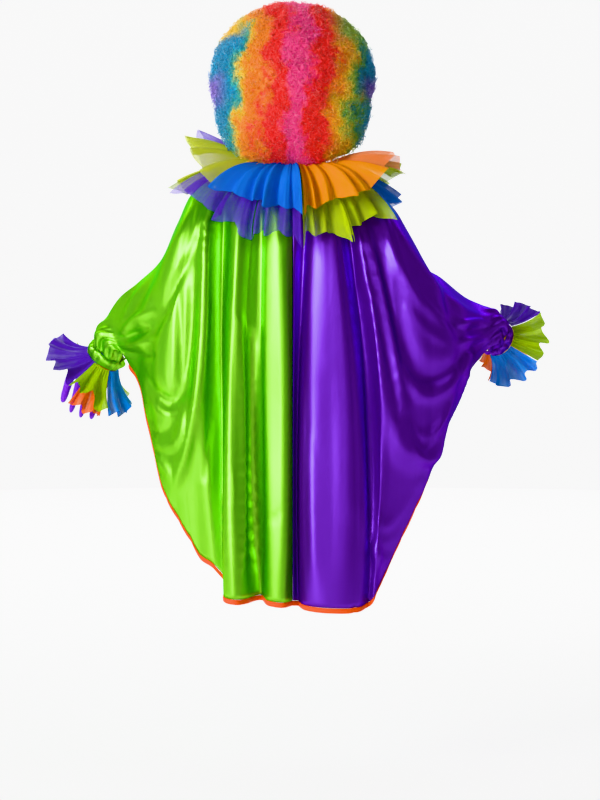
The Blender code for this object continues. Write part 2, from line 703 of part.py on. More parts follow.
def binding_solid(name, left, right):
    """One tape along the hem from wrist to wrist, a little proud of the cloth on both sides."""
    parts = []
    for panel in (left, right):
        start, down, out = panel.hem()
        top_out = start + out * BINDING_PROUD
        top_in = start - out * (SATIN_WALL + BINDING_PROUD)
        ring = [top_out, top_out + down * BINDING_WIDTH, top_in + down * BINDING_WIDTH, top_in]
        parts.append(np.stack(ring, axis=1))
    joined = np.concatenate([parts[0][:0:-1], (parts[0][:1] + parts[1][:1]) / 2, parts[1][1:]])
    middle = len(parts[0]) - 1
    count = len(joined)
    faces = []
    for c in range(count - 1):
        for k in range(4):
            a, b = c * 4 + k, c * 4 + (k + 1) % 4
            if c >= middle:
                faces += [(a, b, a + 4), (b, b + 4, a + 4)]
            else:
                faces += [(a, b, b + 4), (a, b + 4, a + 4)]
    faces.append((3, 2, 1, 0))
    faces.append(tuple(range(count * 4 - 4, count * 4)))
    return add_object(name, joined.reshape(-1, 3), faces, ORANGE_TAPE)


def slope_at(slopes, angle):
    """The length and the two slopes of a layer of net at an angle round its ring."""
    angles = [row.angle for row in slopes]
    while angle > angles[-1]:
        angle -= 360
    while angle < angles[0]:
        angle += 360
    return [np.interp(angle, angles, column) for column in list(zip(*slopes))[1:]]


def petal_surface(layer, petal, centre, up, zero):
    """The grid of one gathered net panel and its normals, standing on a ring round the axis up.

    Angles are measured from the direction zero. Each fold is a ridge or a valley of its own depth.
    """
    sideways = np.cross(up, zero)
    step_angle = 180 / layer.folds
    count = petal.last - petal.first
    grid = []
    for i in range(count + 1):
        number = petal.first + i
        spot = number % (2 * layer.folds)
        trim = 0.55 if i == 0 else -0.55 if i == count else 0.0
        angle = (number + layer.uneven * math.sin(1.3 * spot)) * step_angle
        length, start, end = slope_at(layer.slopes, angle)
        turn = math.radians(angle + trim)
        outward = math.cos(turn) * zero + math.sin(turn) * sideways
        droop = layer.corner * abs(2 * i / count - 1) ** 3 + layer.scallop * math.sin(2.1 * spot)
        reach = length * (1 + droop)
        depth = layer.fold_height * (1 + 0.4 * math.sin(1.9 * spot))
        side = 1 if number % 2 else -1
        column = []
        r = h = 0.0
        fine = 8
        for step in range(layer.rows * fine + 1):
            q = step / (layer.rows * fine)
            slope = math.radians(start + (end - start) * q)
            if step % fine == 0:
                across = -math.sin(slope) * outward + math.cos(slope) * up
                place = (layer.radius + r) * outward + (layer.lift + h) * up
                column.append(centre + place + side * depth * q**0.8 * across)
            r += reach / (layer.rows * fine) * math.cos(slope)
            h += reach / (layer.rows * fine) * math.sin(slope)
        grid.append(column)
    grid = np.array(grid)
    normals = unit(np.cross(np.gradient(grid, axis=0), np.gradient(grid, axis=1)))
    return grid, normals


def net_solids(layer, centre, up, zero):
    """The net walls of a layer's petals, each surface in the middle of its wall."""
    for petal in layer.petals:
        grid, normals = petal_surface(layer, petal, centre, up, zero)
        half = normals * NET_WALL / 2
        wall_between(petal.name, grid + half, grid - half, petal.colour)


def ring_band(name, centre, axis, zero, inner, outer, low, high, folds, depth, colour):
    """A short tube round an axis, with shallow gathers in both faces."""
    sideways = np.cross(axis, zero)
    segments = 2 * folds
    grids = []
    for radius in (outer, inner):
        grid = []
        for i in range(segments):
            turn = 2 * math.pi * i / segments
            outward = math.cos(turn) * zero + math.sin(turn) * sideways
            r = radius + (depth if i % 2 else -depth)
            grid.append([centre + r * outward + h * axis for h in (low, (low + high) / 2, high)])
        grids.append(np.array(grid))
    return wall_between(name, grids[0], grids[1], colour, closed=True)


def bowl_direction(polar, turn):
    """The direction at an angle from the back of the crown, and round the axis of the face opening."""
    slope = math.radians(WIG_HOLE_SLOPE)
    axis = np.array([0, math.cos(slope), math.sin(slope)])
    over = np.array([0, -math.sin(slope), math.cos(slope)])
    side = np.array([1.0, 0, 0])
    ring = math.cos(turn) * over + math.sin(turn) * side
    return -math.cos(polar) * axis + math.sin(polar) * ring


def head_distance(direction):
    """How far the head's surface is from its middle, that way."""
    return 1 / np.linalg.norm(direction / np.array(HEAD_RADII))


def hair_distance(direction, polar, turn, edge):
    """How far the hair reaches that way: a lumpy ball, fuller below and rounded off round the face."""
    x, y, z = direction
    lumps = math.sin(9 * x + 4 * z) * math.sin(8 * z + 3 * y) + 0.6 * math.sin(13 * y + 5 * x + 1.3)
    nape = WIG_NAPE * max(0.0, -z - 0.5) * 2 * (1 - abs(x))
    jowl = WIG_JOWL * max(0.0, -z - 0.25) * abs(x)
    full = (WIG_RADIUS + nape + jowl) * (1 + WIG_LUMP * lumps * 0.6)
    near_edge = max(0.0, (math.degrees(polar) - 58) / (edge - 58))
    thinner = WIG_EDGE_ROUND * near_edge**3 * (1 + math.cos(turn)) / 2
    skin = head_distance(direction)
    return full - thinner * (full - skin)


def cap_distance(direction, *place):
    """How far the wig's cap reaches that way."""
    return head_distance(direction) + CAP_WALL


def bowl_solid(name, outer, inner, colour):
    """A closed bowl round the head, from two distance functions of direction, angles and edge."""
    turns, rings = WIG_TURNS, WIG_RINGS
    verts, faces = [], []
    starts = []
    for distance in (outer, inner):
        starts.append(len(verts))
        pole = bowl_direction(0, 0)
        verts.append(np.array(HEAD_CENTRE) + pole * distance(pole, 0.0, 0.0, WIG_EDGE))
        for ring in range(1, rings + 1):
            for k in range(turns):
                turn = 2 * math.pi * k / turns
                edge = WIG_EDGE + WIG_EDGE_CHEEK * math.sin(turn) ** 2
                polar = math.radians(edge) * ring / rings
                way = bowl_direction(polar, turn)
                verts.append(np.array(HEAD_CENTRE) + way * distance(way, polar, turn, edge))
    for start in starts:
        for k in range(turns):
            following = (k + 1) % turns
            faces.append((start, start + 1 + k, start + 1 + following))
            for ring in range(rings - 1):
                a = start + 1 + ring * turns
                faces.append((a + k, a + turns + k, a + turns + following, a + following))
    rims = [start + 1 + (rings - 1) * turns for start in starts]
    for k in range(turns):
        following = (k + 1) % turns
        faces.append((rims[0] + k, rims[1] + k, rims[1] + following, rims[0] + following))
    return add_object(name, verts, faces, colour)


class GloveRow(NamedTuple):
    """One level of the glove's hand, from the opening down to the knuckles."""

    name: str
    z: float
    half_width: float
    half_depth: float


class Finger(NamedTuple):
    """One finger of the glove: its length, its lean to the side and its half thickness, in metres."""

    name: str
    length: float
    lean: float
    half: float


GLOVE_ROWS = (
    GloveRow("opening", 0.034, 0.034, 0.031),
    GloveRow("wrist", -0.010, 0.031, 0.026),
    GloveRow("heel", -0.038, 0.035, 0.0250),
    GloveRow("palm", -0.068, 0.046, 0.0230),
    GloveRow("knuckles", -0.104, 0.049, 0.0185),
)
HANGING_FINGERS = (
    Finger("index", 0.076, -0.028, 0.0112),
    Finger("middle", 0.084, -0.034, 0.0114),
    Finger("ring", 0.078, -0.036, 0.0112),
    Finger("little", 0.064, -0.034, 0.0104),
)
SPREAD_FINGERS = (
    Finger("index", 0.086, 0.022, 0.0108),
    Finger("middle", 0.100, 0.006, 0.0110),
    Finger("ring", 0.092, -0.010, 0.0108),
    Finger("little", 0.074, -0.020, 0.0100),
)
THUMB = Finger("thumb", 0.066, 0.0, 0.0115)
THUMB_WAY = Vector((0.62, -0.05, -0.78)).normalized()


def glove_cage(fingers):
    """The points and four-sided faces of a glove, open at the wrist. It hangs down with the thumb at +X.

    The hand has five points across each face, so each finger grows from one four-sided base.
    """
    verts, faces = [], []
    for row in GLOVE_ROWS:
        across = [row.half_width * (1 - i / 2) for i in range(5)]
        bulge = [0.72, 1.0, 1.04, 1.0, 0.72]
        verts += [Vector((x, -row.half_depth * b, row.z)) for x, b in zip(across, bulge)]
        verts += [Vector((x, row.half_depth * b, row.z)) for x, b in zip(across[::-1], bulge[::-1])]
    ring = 10
    thumb_base = None
    for level in range(len(GLOVE_ROWS) - 1):
        for k in range(ring):
            a, b = level * ring + k, level * ring + (k + 1) % ring
            face = (a, b, b + ring, a + ring)
            if k == ring - 1 and GLOVE_ROWS[level].name == "heel":
                thumb_base = face
            else:
                faces.append(face)
    knuckles = (len(GLOVE_ROWS) - 1) * ring
    for i, finger in enumerate(fingers):
        base = (knuckles + i, knuckles + i + 1, knuckles + 8 - i, knuckles + 9 - i)
        way = Vector((finger.lean, 0.0, -finger.length)) / finger.length
        grow_finger(verts, faces, base, way, finger)
    grow_finger(verts, faces, thumb_base[::-1], THUMB_WAY, THUMB)
    return verts, faces


def grow_finger(verts, faces, base, way, finger):
    """Adds three rings and a tip along a way, starting from four points of the hand."""
    centre = sum((verts[i] for i in base), Vector()) / 4
    previous = base
    for share, narrow in ((0.08, 1.0), (0.55, 0.94), (1.0, 0.72)):
        here = centre + way * finger.length * share
        ring = []
        for i in base:
            offset = verts[i] - centre
            offset -= way * offset.dot(way)
            largest = max(abs(c) for c in offset) or 1.0
            ring.append(len(verts))
            verts.append(here + offset / largest * finger.half * 1.12 * narrow)
        for k in range(4):
            following = (k + 1) % 4
            faces.append((previous[k], previous[following], ring[following], ring[k]))
        previous = ring
    faces.append(tuple(previous))


def glove_solid(name, sleeve, hand_way, thumb_side, fingers, colour):
    """A hollow knitted glove with its wrist at the sleeve's middle, palm to the front."""
    verts, faces = glove_cage(fingers)
    way = hand_way.normalized()
    palm = Vector((0, 1, 0))
    palm = (palm - way * palm.dot(way)).normalized()
    thumb = palm.cross(way)
    thumb = thumb if thumb.x * thumb_side > 0 else -thumb
    turn = Matrix((thumb, palm, -way)).transposed()
    bend = way.rotation_difference(sleeve.axis).to_matrix()
    placed = []
    for v in verts:
        offset = turn @ v
        placed.append(sleeve.centre + (bend @ offset if v.z > 0 else offset))
    glove = add_object(name, placed, faces, colour)
    rounding = glove.modifiers.new("rounding", "SUBSURF")
    rounding.levels = rounding.render_levels = 1
    wall = glove.modifiers.new("wall", "SOLIDIFY")
    wall.thickness = GLOVE_WALL
    wall.offset = -1
    return glove


def build_poncho():
    """Four satin panels and the two lengths of hem binding."""
    back_left = Panel(LEFT, 1, BACK_LEFT_FOLDS, BACK_LEFT_SWAGS, BACK_ROWS)
    back_right = Panel(RIGHT, 1, BACK_RIGHT_FOLDS, BACK_RIGHT_SWAGS, BACK_ROWS)
    front_left = Panel(LEFT, -1, FRONT_LEFT_FOLDS, FRONT_LEFT_SWAGS, FRONT_ROWS)
    front_right = Panel(RIGHT, -1, FRONT_RIGHT_FOLDS, FRONT_RIGHT_SWAGS, FRONT_ROWS)
    panel_solid("panel_back_left", back_left, LIME_SATIN)
    panel_solid("panel_back_right", back_right, PURPLE_SATIN)
    panel_solid("panel_front_left", front_left, LIME_SATIN)
    panel_solid("panel_front_right", front_right, PURPLE_SATIN)
    binding_solid("hem_binding_back", back_left, back_right)
    binding_solid("hem_binding_front", front_left, front_right)


def build_ruff():
    """The neck band and the two layers of gathered net petals."""
    ring_band(
        "neck_band", np.zeros(3), NECK_UP, NECK_BACK,
        NECK_RADIUS - 0.0026, NECK_RADIUS - 0.0010, NECK_BAND_BOTTOM, NECK_BAND_TOP,
        12, 0.0, PURPLE_SATIN,
    )
    net_solids(RUFF_TOP, np.zeros(3), NECK_UP, NECK_BACK)
    net_solids(RUFF_LOW, np.zeros(3), NECK_UP, NECK_BACK)


def build_cuffs():
    """A satin band on each sleeve's end, with gathered net petals on it."""
    sides = (
        ("left", LEFT, (LEFT_CUFF_NET, LEFT_CUFF_LOW_NET), LIME_SATIN),
        ("right", RIGHT, (RIGHT_CUFF_NET,), PURPLE_SATIN),
    )
    for name, side, layers, colour in sides:
        axis = np.array(side.sleeve.axis)
        centre = np.array(side.sleeve.centre)
        ring_band(
            "cuff_band_" + name, centre, axis, side.ring_up,
            CUFF_RADIUS - SATIN_WALL, CUFF_RADIUS, CUFF_BAND_START, CUFF_BAND_WIDTH,
            CUFF_BAND_FOLDS, 0.0012, colour,
        )
        for layer in layers:
            net_solids(layer, centre, axis, side.ring_up)


def build_gloves():
    """A purple glove on the left hand and a yellow one on the right."""
    left_way = Vector((-0.62, 0.18, -0.77))
    right_way = Vector((0.50, 0.76, -0.42))
    glove_solid("glove_left", LEFT_SLEEVE, left_way, -1, HANGING_FINGERS, PURPLE_KNIT)
    glove_solid("glove_right", RIGHT_SLEEVE, right_way, 1, SPREAD_FINGERS, YELLOW_KNIT)


def build_wig():
    """The wig's net cap and the ball of curls round it."""

    def skin_distance(direction, *place):
        return head_distance(direction)

    def root_distance(direction, *place):
        return cap_distance(direction) + 2 * SEAM_GAP

    bowl_solid("wig_cap", cap_distance, skin_distance, WIG_NET)
    bowl_solid("wig_hair", hair_distance, root_distance, WIG_HAIR)


def main():
    """Builds the whole costume in an empty scene."""
    for leftover in list(bpy.data.objects):
        bpy.data.objects.remove(leftover)
    build_poncho()
    build_ruff()
    build_cuffs()
    build_gloves()
    build_wig()


main()
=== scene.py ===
"""Looks of a clown costume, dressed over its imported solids.

Frame: metres, +Z up, the wearer faces +Y and +X is the wearer's right. The origin is the middle of the
neck opening. Each cloth piece is worked out from the same named sizes as its solid, with finer steps,
and carries the smaller creases, pleats, stitches and curls that the solid leaves out.
"""

import json
import logging
import math
from dataclasses import dataclass, field
from enum import Enum
from typing import Callable, Optional, Sequence, Union

import bmesh
import bpy
import numpy as np
from mathutils import Matrix, Vector

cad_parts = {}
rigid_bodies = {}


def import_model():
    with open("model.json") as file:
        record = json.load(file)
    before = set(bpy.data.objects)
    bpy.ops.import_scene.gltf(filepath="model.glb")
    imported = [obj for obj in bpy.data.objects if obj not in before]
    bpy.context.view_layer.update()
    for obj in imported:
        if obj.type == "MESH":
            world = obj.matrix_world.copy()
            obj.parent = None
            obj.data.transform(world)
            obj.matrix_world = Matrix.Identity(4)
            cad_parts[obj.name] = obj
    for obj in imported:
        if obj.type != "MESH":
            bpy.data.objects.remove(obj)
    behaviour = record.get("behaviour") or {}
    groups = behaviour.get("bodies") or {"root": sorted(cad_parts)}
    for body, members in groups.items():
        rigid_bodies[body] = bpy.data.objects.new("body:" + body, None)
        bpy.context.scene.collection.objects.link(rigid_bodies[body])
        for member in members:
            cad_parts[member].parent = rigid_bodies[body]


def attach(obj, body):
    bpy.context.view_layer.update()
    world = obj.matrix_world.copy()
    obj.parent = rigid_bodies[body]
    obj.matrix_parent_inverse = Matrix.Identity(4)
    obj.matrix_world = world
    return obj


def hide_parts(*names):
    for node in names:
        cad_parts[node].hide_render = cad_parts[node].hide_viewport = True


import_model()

LOG = logging.getLogger("clown_costume")
BODY = "root"

Array = np.ndarray
Node = bpy.types.Node
Piece = bpy.types.Object
Socket = bpy.types.NodeSocket
Number = Union[float, "Value"]


class Way(Enum):
    """Which half of the poncho a piece belongs to."""

    BACK = 1
    FRONT = -1


# ---- Materials ----


class Value:
    """A number socket of a material, for use in Python expressions."""

    def __init__(self, tree: bpy.types.NodeTree, socket: Socket) -> None:
        """Wraps a socket.

        Args:
            tree: The node tree that the socket is in.
            socket: The output socket that carries the number.
        """
        self.tree = tree
        self.socket = socket

    def combine(self, operation: str, first: Number, second: Number = 0.0) -> "Value":
        """Adds a Math node.

        Args:
            operation: The Math node's operation.
            first: Its first value or link.
            second: Its second value or link.

        Returns:
            The node's result.
        """
        node = self.tree.nodes.new("ShaderNodeMath")
        node.operation = operation
        for place, part in enumerate((first, second)):
            if isinstance(part, Value):
                self.tree.links.new(part.socket, node.inputs[place])
            else:
                node.inputs[place].default_value = part
        return Value(self.tree, node.outputs[0])

    def __add__(self, other: Number) -> "Value":
        """Sum."""
        return self.combine("ADD", self, other)

    __radd__ = __add__

    def __mul__(self, other: Number) -> "Value":
        """Product."""
        return self.combine("MULTIPLY", self, other)

    __rmul__ = __mul__

    def __sub__(self, other: Number) -> "Value":
        """Difference."""
        return self.combine("SUBTRACT", self, other)

    def __rsub__(self, other: Number) -> "Value":
        """Difference, reflected."""
        return self.combine("SUBTRACT", other, self)

    def __truediv__(self, other: Number) -> "Value":
        """Quotient."""
        return self.combine("DIVIDE", self, other)

    def __pow__(self, other: Number) -> "Value":
        """Power."""
        return self.combine("POWER", self, other)

    def sine(self) -> "Value":
        """The sine of the value, in radians."""
        return self.combine("SINE", self)

    def size(self) -> "Value":
        """The value without its sign."""
        return self.combine("ABSOLUTE", self)

    def least(self, other: Number) -> "Value":
        """The smaller of two values."""
        return self.combine("MINIMUM", self, other)

    def most(self, other: Number) -> "Value":
        """The larger of two values."""
        return self.combine("MAXIMUM", self, other)

    def ramp(self, start: float, steepness: float) -> "Value":
        """0 up to a start, then a rise at a steepness to 1."""
        return ((self - start) * steepness).most(0.0).least(1.0)


class Recipe:
    """The nodes of one material."""

    def __init__(self, name: str) -> None:
        """Starts a material.

        Args:
            name: The material's name.
        """
        self.material = bpy.data.materials.new(name)
        self.material.use_nodes = True
        self.tree = self.material.node_tree
        self.shader = self.tree.nodes["Principled BSDF"]

    def node(self, kind: str, settings: Optional[dict] = None, sockets: Optional[dict] = None) -> Node:
        """Adds a node.

        Args:
            kind: The node's type, without ShaderNode.
            settings: Its settings, set first. stops is a ramp's list of places and colours.
            sockets: Values or links of its sockets, by name or number.

        Returns:
            The node.
        """
        made = self.tree.nodes.new("ShaderNode" + kind)
        for name, setting in (settings or {}).items():
            if name == "stops":
                elements = made.color_ramp.elements
                elements[0].position = setting[0][0]
                elements[1].position = setting[-1][0]
                for stop in setting[1:-1]:
                    elements.new(stop[0])
                for element, stop in zip(elements, setting):
                    element.color = (*stop[1], 1.0)
            else:
                setattr(made, name, setting)
        for key, value in (sockets or {}).items():
            self.put(made.inputs[key], value)
        return made

    def put(self, socket: Socket, value: object) -> None:
        """Sets or links a socket.

        Args:
            socket: The input socket.
            value: A number, a tuple, a Value or another node's output socket.
        """
        if isinstance(value, Value):
            self.tree.links.new(value.socket, socket)
        elif isinstance(value, Socket):
            self.tree.links.new(value, socket)
        else:
            socket.default_value = value

    def place(self, kind: str, scale: tuple = (1.0, 1.0, 1.0)) -> Socket:
        """Coordinates of the piece.

        Args:
            kind: Object or UV.
            scale: How much each axis is stretched.

        Returns:
            The vector socket.
        """
        start = self.node("TexCoord").outputs[kind]
        return self.node("Mapping", {}, {"Vector": start, "Scale": scale}).outputs["Vector"]

    def noise(self, where: Socket, scale: float, detail: float = 2.0, twist: float = 0.0) -> Value:
        """Soft noise from 0 to 1.

        Args:
            where: The coordinates.
            scale: Waves to a metre.
            detail: Octaves.
            twist: Distortion.

        Returns:
            The noise as a value.
        """
        sockets = {"Vector": where, "Scale": scale, "Detail": detail, "Distortion": twist}
        return Value(self.tree, self.node("TexNoise", {}, sockets).outputs["Fac"])

    def blend(self, share: Number, first: object, second: object) -> Socket:
        """A colour between two colours.

        Args:
            share: 0 gives the first and 1 the second.
            first: A colour or a colour socket.
            second: A colour or a colour socket.

        Returns:
            The colour socket.
        """
        colours = [(*c, 1.0) if isinstance(c, tuple) and len(c) == 3 else c for c in (first, second)]
        node = self.node("Mix", {"data_type": "RGBA"}, {0: share, 6: colours[0], 7: colours[1]})
        return node.outputs[2]

    def bump(
        self, height: Number, strength: float, distance: float, under: Optional[object] = None
    ) -> Socket:
        """A bumped normal.

        Args:
            height: The height, from 0 to 1.
            strength: How strongly it shows.
            distance: The height of 1, in metres.
            under: The normal of another bump that this one lies on.

        Returns:
            The normal socket.
        """
        sockets = {"Height": height, "Strength": strength, "Distance": distance}
        if under is not None:
            sockets["Normal"] = under
        return self.node("Bump", {}, sockets).outputs["Normal"]

    def fill(self, shader: Node, sockets: dict) -> None:
        """Sets a shader's sockets.

        Args:
            shader: The shader.
            sockets: Values or links, named as the sockets with _ for each space.
        """
        for name, value in sockets.items():
            if isinstance(value, tuple) and ("Color" in name or "Tint" in name):
                value = (*value, 1.0)
            self.put(shader.inputs[name.replace("_", " ")], value)

    def lay_over(self, share: float, **sockets: object) -> None:
        """Mixes a second shader over the first.

        Args:
            share: How much of the second shader shows.
            sockets: Its values or links, named as for fill.
        """
        above = self.node("BsdfPrincipled")
        self.fill(above, sockets)
        mix = self.node("MixShader", {}, {0: share, 1: self.shader.outputs[0], 2: above.outputs[0]})
        self.tree.links.new(mix.outputs[0], self.tree.nodes["Material Output"].inputs["Surface"])

    def axes(self, where: Socket) -> tuple:
        """The X, Y and Z of coordinates, as values."""
        split = self.node("SeparateXYZ", {}, {0: where})
        return tuple(Value(self.tree, split.outputs[axis]) for axis in "XYZ")


@dataclass(frozen=True)
class Finish:
    """How one finish looks. slot names the finish that a piece would be listed under, where that isn't its
    own; it is not used.
    """

    name: str
    slot: str = field(default="", kw_only=True)

    def look(self, recipe: Recipe) -> dict:
        """Adds the finish's nodes.

        Args:
            recipe: The material's nodes, added to.

        Returns:
            Values or links of the shader's sockets, named as for fill.
        """
        raise NotImplementedError

    def material(self) -> bpy.types.Material:
        """Makes the material."""
        recipe = Recipe(self.name)
        recipe.fill(recipe.shader, self.look(recipe))
        return recipe.material


@dataclass(frozen=True)
class Satin(Finish):
    """Polyester satin: deep colour under a paler gloss, over fine crinkles and a close weave."""

    colour: tuple
    shade: tuple
    gloss: tuple
    gleam: float = 0.60
    roughness: float = 0.33

    def look(self, recipe: Recipe) -> dict:
        """Adds the finish's nodes."""
        where = recipe.place("Object")
        long_way = recipe.place("Object", (1.0, 1.0, 0.3))
        broad = recipe.noise(where, 5.0, 2.0, 0.6)
        crinkle = recipe.noise(long_way, 26.0, 3.0, 0.8)
        thread = recipe.noise(recipe.place("Object", (1.0, 1.0, 0.12)), 1500.0, 1.0)
        soft = recipe.bump(crinkle, 0.16, 0.004)
        woven = recipe.bump(thread, 0.10, 0.0004, soft)
        recipe.lay_over(
            self.gleam,
            Base_Color=recipe.blend(broad * 0.3, self.gloss, self.colour),
            Metallic=1.0,
            Roughness=self.roughness + broad * 0.08 + thread * 0.04,
            Normal=woven,
            Specular_Tint=self.shade,
        )
        return dict(
            Base_Color=recipe.blend(broad * 0.5 + crinkle * 0.25, self.colour, self.shade),
            Roughness=0.8,
            Normal=woven,
            Specular_IOR_Level=0.05,
        )


@dataclass(frozen=True)
class Tape(Finish):
    """Folded binding tape with fine ribs."""

    colour: tuple
    shade: tuple

    def look(self, recipe: Recipe) -> dict:
        """Adds the finish's nodes."""
        along, _, _ = recipe.axes(recipe.place("UV"))
        rib = (along * 2600.0).sine() * 0.5 + 0.5
        patch = recipe.noise(recipe.place("Object"), 40.0, 2.0)
        return dict(
            Base_Color=recipe.blend(patch * 0.6, self.colour, self.shade),
            Roughness=0.42 + patch * 0.12,
            Normal=recipe.bump(rib, 0.25, 0.0003),
            Specular_IOR_Level=0.2,
        )


@dataclass(frozen=True)
class Thread(Finish):
    """Sewing thread."""

    colour: tuple

    def look(self, recipe: Recipe) -> dict:
        """Adds the finish's nodes."""
        twist = recipe.noise(recipe.place("Object"), 900.0, 1.0)
        deep = tuple(0.55 * c for c in self.colour)
        return dict(
            Base_Color=recipe.blend(twist, self.colour, deep),
            Roughness=0.5 + twist * 0.1,
            Normal=recipe.bump(twist, 0.3, 0.0002),
        )


@dataclass(frozen=True)
class Net(Finish):
    """Stiff gathered net: see-through, denser where the threads of its small holes cross.

    cover is the share of light that one layer stops by the gathers, and sheer is how much less of it
    the flat net stops far from them.
    """

    colour: tuple
    shade: tuple
    cover: float
    sheer: float = 0.25

    def look(self, recipe: Recipe) -> dict:
        """Adds the finish's nodes."""
        across, down, _ = recipe.axes(recipe.place("UV"))
        first = ((across + down * 0.6) * 2900.0).sine().size()
        second = ((across - down * 0.6) * 2900.0).sine().size()
        mesh = first.most(second) ** 4.0
        cloud = recipe.noise(recipe.place("Object"), 36.0, 3.0, 0.5)
        streak = recipe.noise(recipe.place("UV", (240.0, 9.0, 1.0)), 1.0, 2.0)
        flat = down.ramp(0.075, 12.0)
        cover = self.cover - flat * self.sheer + (mesh - 0.55) * 0.16
        cover = cover + (streak - 0.5) * 0.24 + (cloud - 0.5) * 0.20
        return dict(
            Base_Color=recipe.blend(streak * 0.7 + cloud * 0.2, self.colour, self.shade),
            Roughness=0.72,
            Alpha=cover.least(1.0).most(0.0),
            Normal=recipe.bump(mesh * 0.2 + streak * 0.8, 0.45, 0.0012),
            Specular_IOR_Level=0.2,
        )


@dataclass(frozen=True)
class Knit(Finish):
    """Fine stretch knit, in ribs too small to count from a step away."""

    colour: tuple
    shade: tuple

    def look(self, recipe: Recipe) -> dict:
        """Adds the finish's nodes."""
        where = recipe.place("Object")
        x, y, z = recipe.axes(where)
        rib = ((x + y * 0.7) * 2200.0).sine()
        row = (z * 1900.0).sine()
        loop = (rib * row) * 0.5 + 0.5
        patch = recipe.noise(where, 60.0, 3.0)
        return dict(
            Base_Color=recipe.blend(patch * 0.6 + loop * 0.15, self.colour, self.shade),
            Roughness=0.62 + patch * 0.1,
            Normal=recipe.bump(loop, 0.3, 0.0004, recipe.bump(patch, 0.2, 0.0015)),
            Sheen_Weight=0.5,
            Sheen_Roughness=0.35,
        )


@dataclass(frozen=True)
class HairBands(Finish):
    """Curled fibre in upright bands of colour, from one side of the head to the other.

    deep is painted shade: it darkens the fibre of what lies under the outer curls. stops are places
    across the wig, from 0 at the wearer's left to 1 at the right, with their colours. The bands sway to
    either side of middle_level. Above crown_level the outer ones are gold on the left and green on the
    right, and round temple_level both ends are violet. The three starts are how far from the middle those
    patches begin, and shadow is the tint of the painted shade between the curls, in fine specks and clumps.
    """

    half_width: float
    deep: float
    stops: tuple
    middle_level: float = 0.20
    crown_level: float = 0.285
    gold_start: float = 0.10
    green_start: float = 0.09
    temple_level: float = 0.180
    temple_start: float = 0.150
    shadow: tuple = (0.72, 0.66, 0.68, 1.0)

    def look(self, recipe: Recipe) -> dict:
        """Adds the finish's nodes."""
        where = recipe.place("Object")
        x, _, z = recipe.axes(where)
        sway = ((z - self.middle_level) * 14.0).sine() * -0.012
        tuft = recipe.noise(where, 15.0, 2.0, 0.4) - 0.5
        wisp = recipe.noise(where, 70.0, 2.0, 0.3) - 0.5
        spot = recipe.noise(where, 420.0, 1.0)
        across = (x + sway + tuft * 0.115 + wisp * 0.05) / (2 * self.half_width) + 0.5
        bands = recipe.node("ValToRGB", {"stops": self.stops}, {"Fac": across}).outputs["Color"]
        high = z + tuft * 0.09 + wisp * 0.03
        crown_left = high.ramp(self.crown_level, 40.0) * (x * -1.0).ramp(self.gold_start, 30.0)
        crown_right = high.ramp(self.crown_level, 30.0) * x.ramp(self.green_start, 30.0)
        level = (high - self.temple_level) * 22.0
        temple = (1.0 - level * level).most(0.0).least(0.9) * x.size().ramp(self.temple_start, 30.0)
        bands = recipe.blend(crown_left, bands, GOLD)
        bands = recipe.blend(crown_right * 0.8, bands, GREEN)
        bands = recipe.blend(temple, bands, VIOLET)
        settings = {"data_type": "RGBA", "blend_type": "MULTIPLY"}
        shaded = recipe.node("Mix", settings, {0: 1.0, 6: bands, 7: self.shadow}).outputs[2]
        # painted shade: the bands darken towards the shadow tint in fine specks and in clumps, and on the
        # under-hair by deep as well
        clump_shade = (recipe.noise(where, 46.0, 2.0, 0.5) - 0.45).most(0.0)
        colour = recipe.blend(spot * 0.22 + clump_shade * 0.9 + self.deep, bands, shaded)
        return dict(
            Base_Color=colour,
            Roughness=0.55 + spot * 0.1,
            Normal=recipe.bump(spot, 0.3, 0.001, recipe.bump(wisp, 0.6, 0.006)),
            Sheen_Weight=0.4,
            Sheen_Roughness=0.5,
        )


@dataclass(frozen=True)
class CapNet(Finish):
    """Black stretch net with the rows of stitching that hold the hair."""

    colour: tuple

    def look(self, recipe: Recipe) -> dict:
        """Adds the finish's nodes."""
        across, down, _ = recipe.axes(recipe.place("UV"))
        threads = (across * 900.0).sine().size()
        rows = (down * 900.0).sine().size()
        weft = (down * 190.0).sine() ** 8.0
        mesh = threads.most(rows)
        grey = tuple(3.0 * c + 0.02 for c in self.colour)
        return dict(
            Base_Color=recipe.blend(mesh * 0.5 + weft * 0.5, self.colour, grey),
            Roughness=0.75,
            Normal=recipe.bump(mesh * 0.4 + weft * 0.6, 0.5, 0.0012),
        )


@dataclass(frozen=True)
class StudioPaint(Finish):
    """The even paint of a studio, lit from within where it is a backdrop.

    The glow is whole on the far side of the room, and only the dim share of it by the camera. middle is
    how much of it has come by the middle of the room, and climb how much more comes by its far side.
    """

    colour: tuple
    glow: float = 0.0
    reach: float = 9.0
    dim: float = 0.06
    middle: float = 0.20
    climb: float = 0.85

    def look(self, recipe: Recipe) -> dict:
        """Adds the finish's nodes."""
        where = recipe.place("Object")
        grain = recipe.noise(where, 3.0, 2.0)
        deep = tuple(0.98 * c for c in self.colour)
        colour = recipe.blend(grain, self.colour, deep)
        _, y, _ = recipe.axes(where)
        behind = (y / self.reach * self.climb + self.middle).most(0.0).least(1.0)
        return dict(
            Base_Color=colour,
            Roughness=0.9,
            Emission_Color=recipe.blend(behind, (self.dim,) * 3, (1.0, 1.0, 1.0)),
            Emission_Strength=self.glow,
        )


def paint(red: float, green: float, blue: float) -> tuple:
    """A colour as a screen shows it, turned into the amounts of light that shaders take."""
    return tuple((0.055 + c) ** 2.4 / 1.055**2.4 if c > 0.04 else c / 12.92 for c in (red, green, blue))


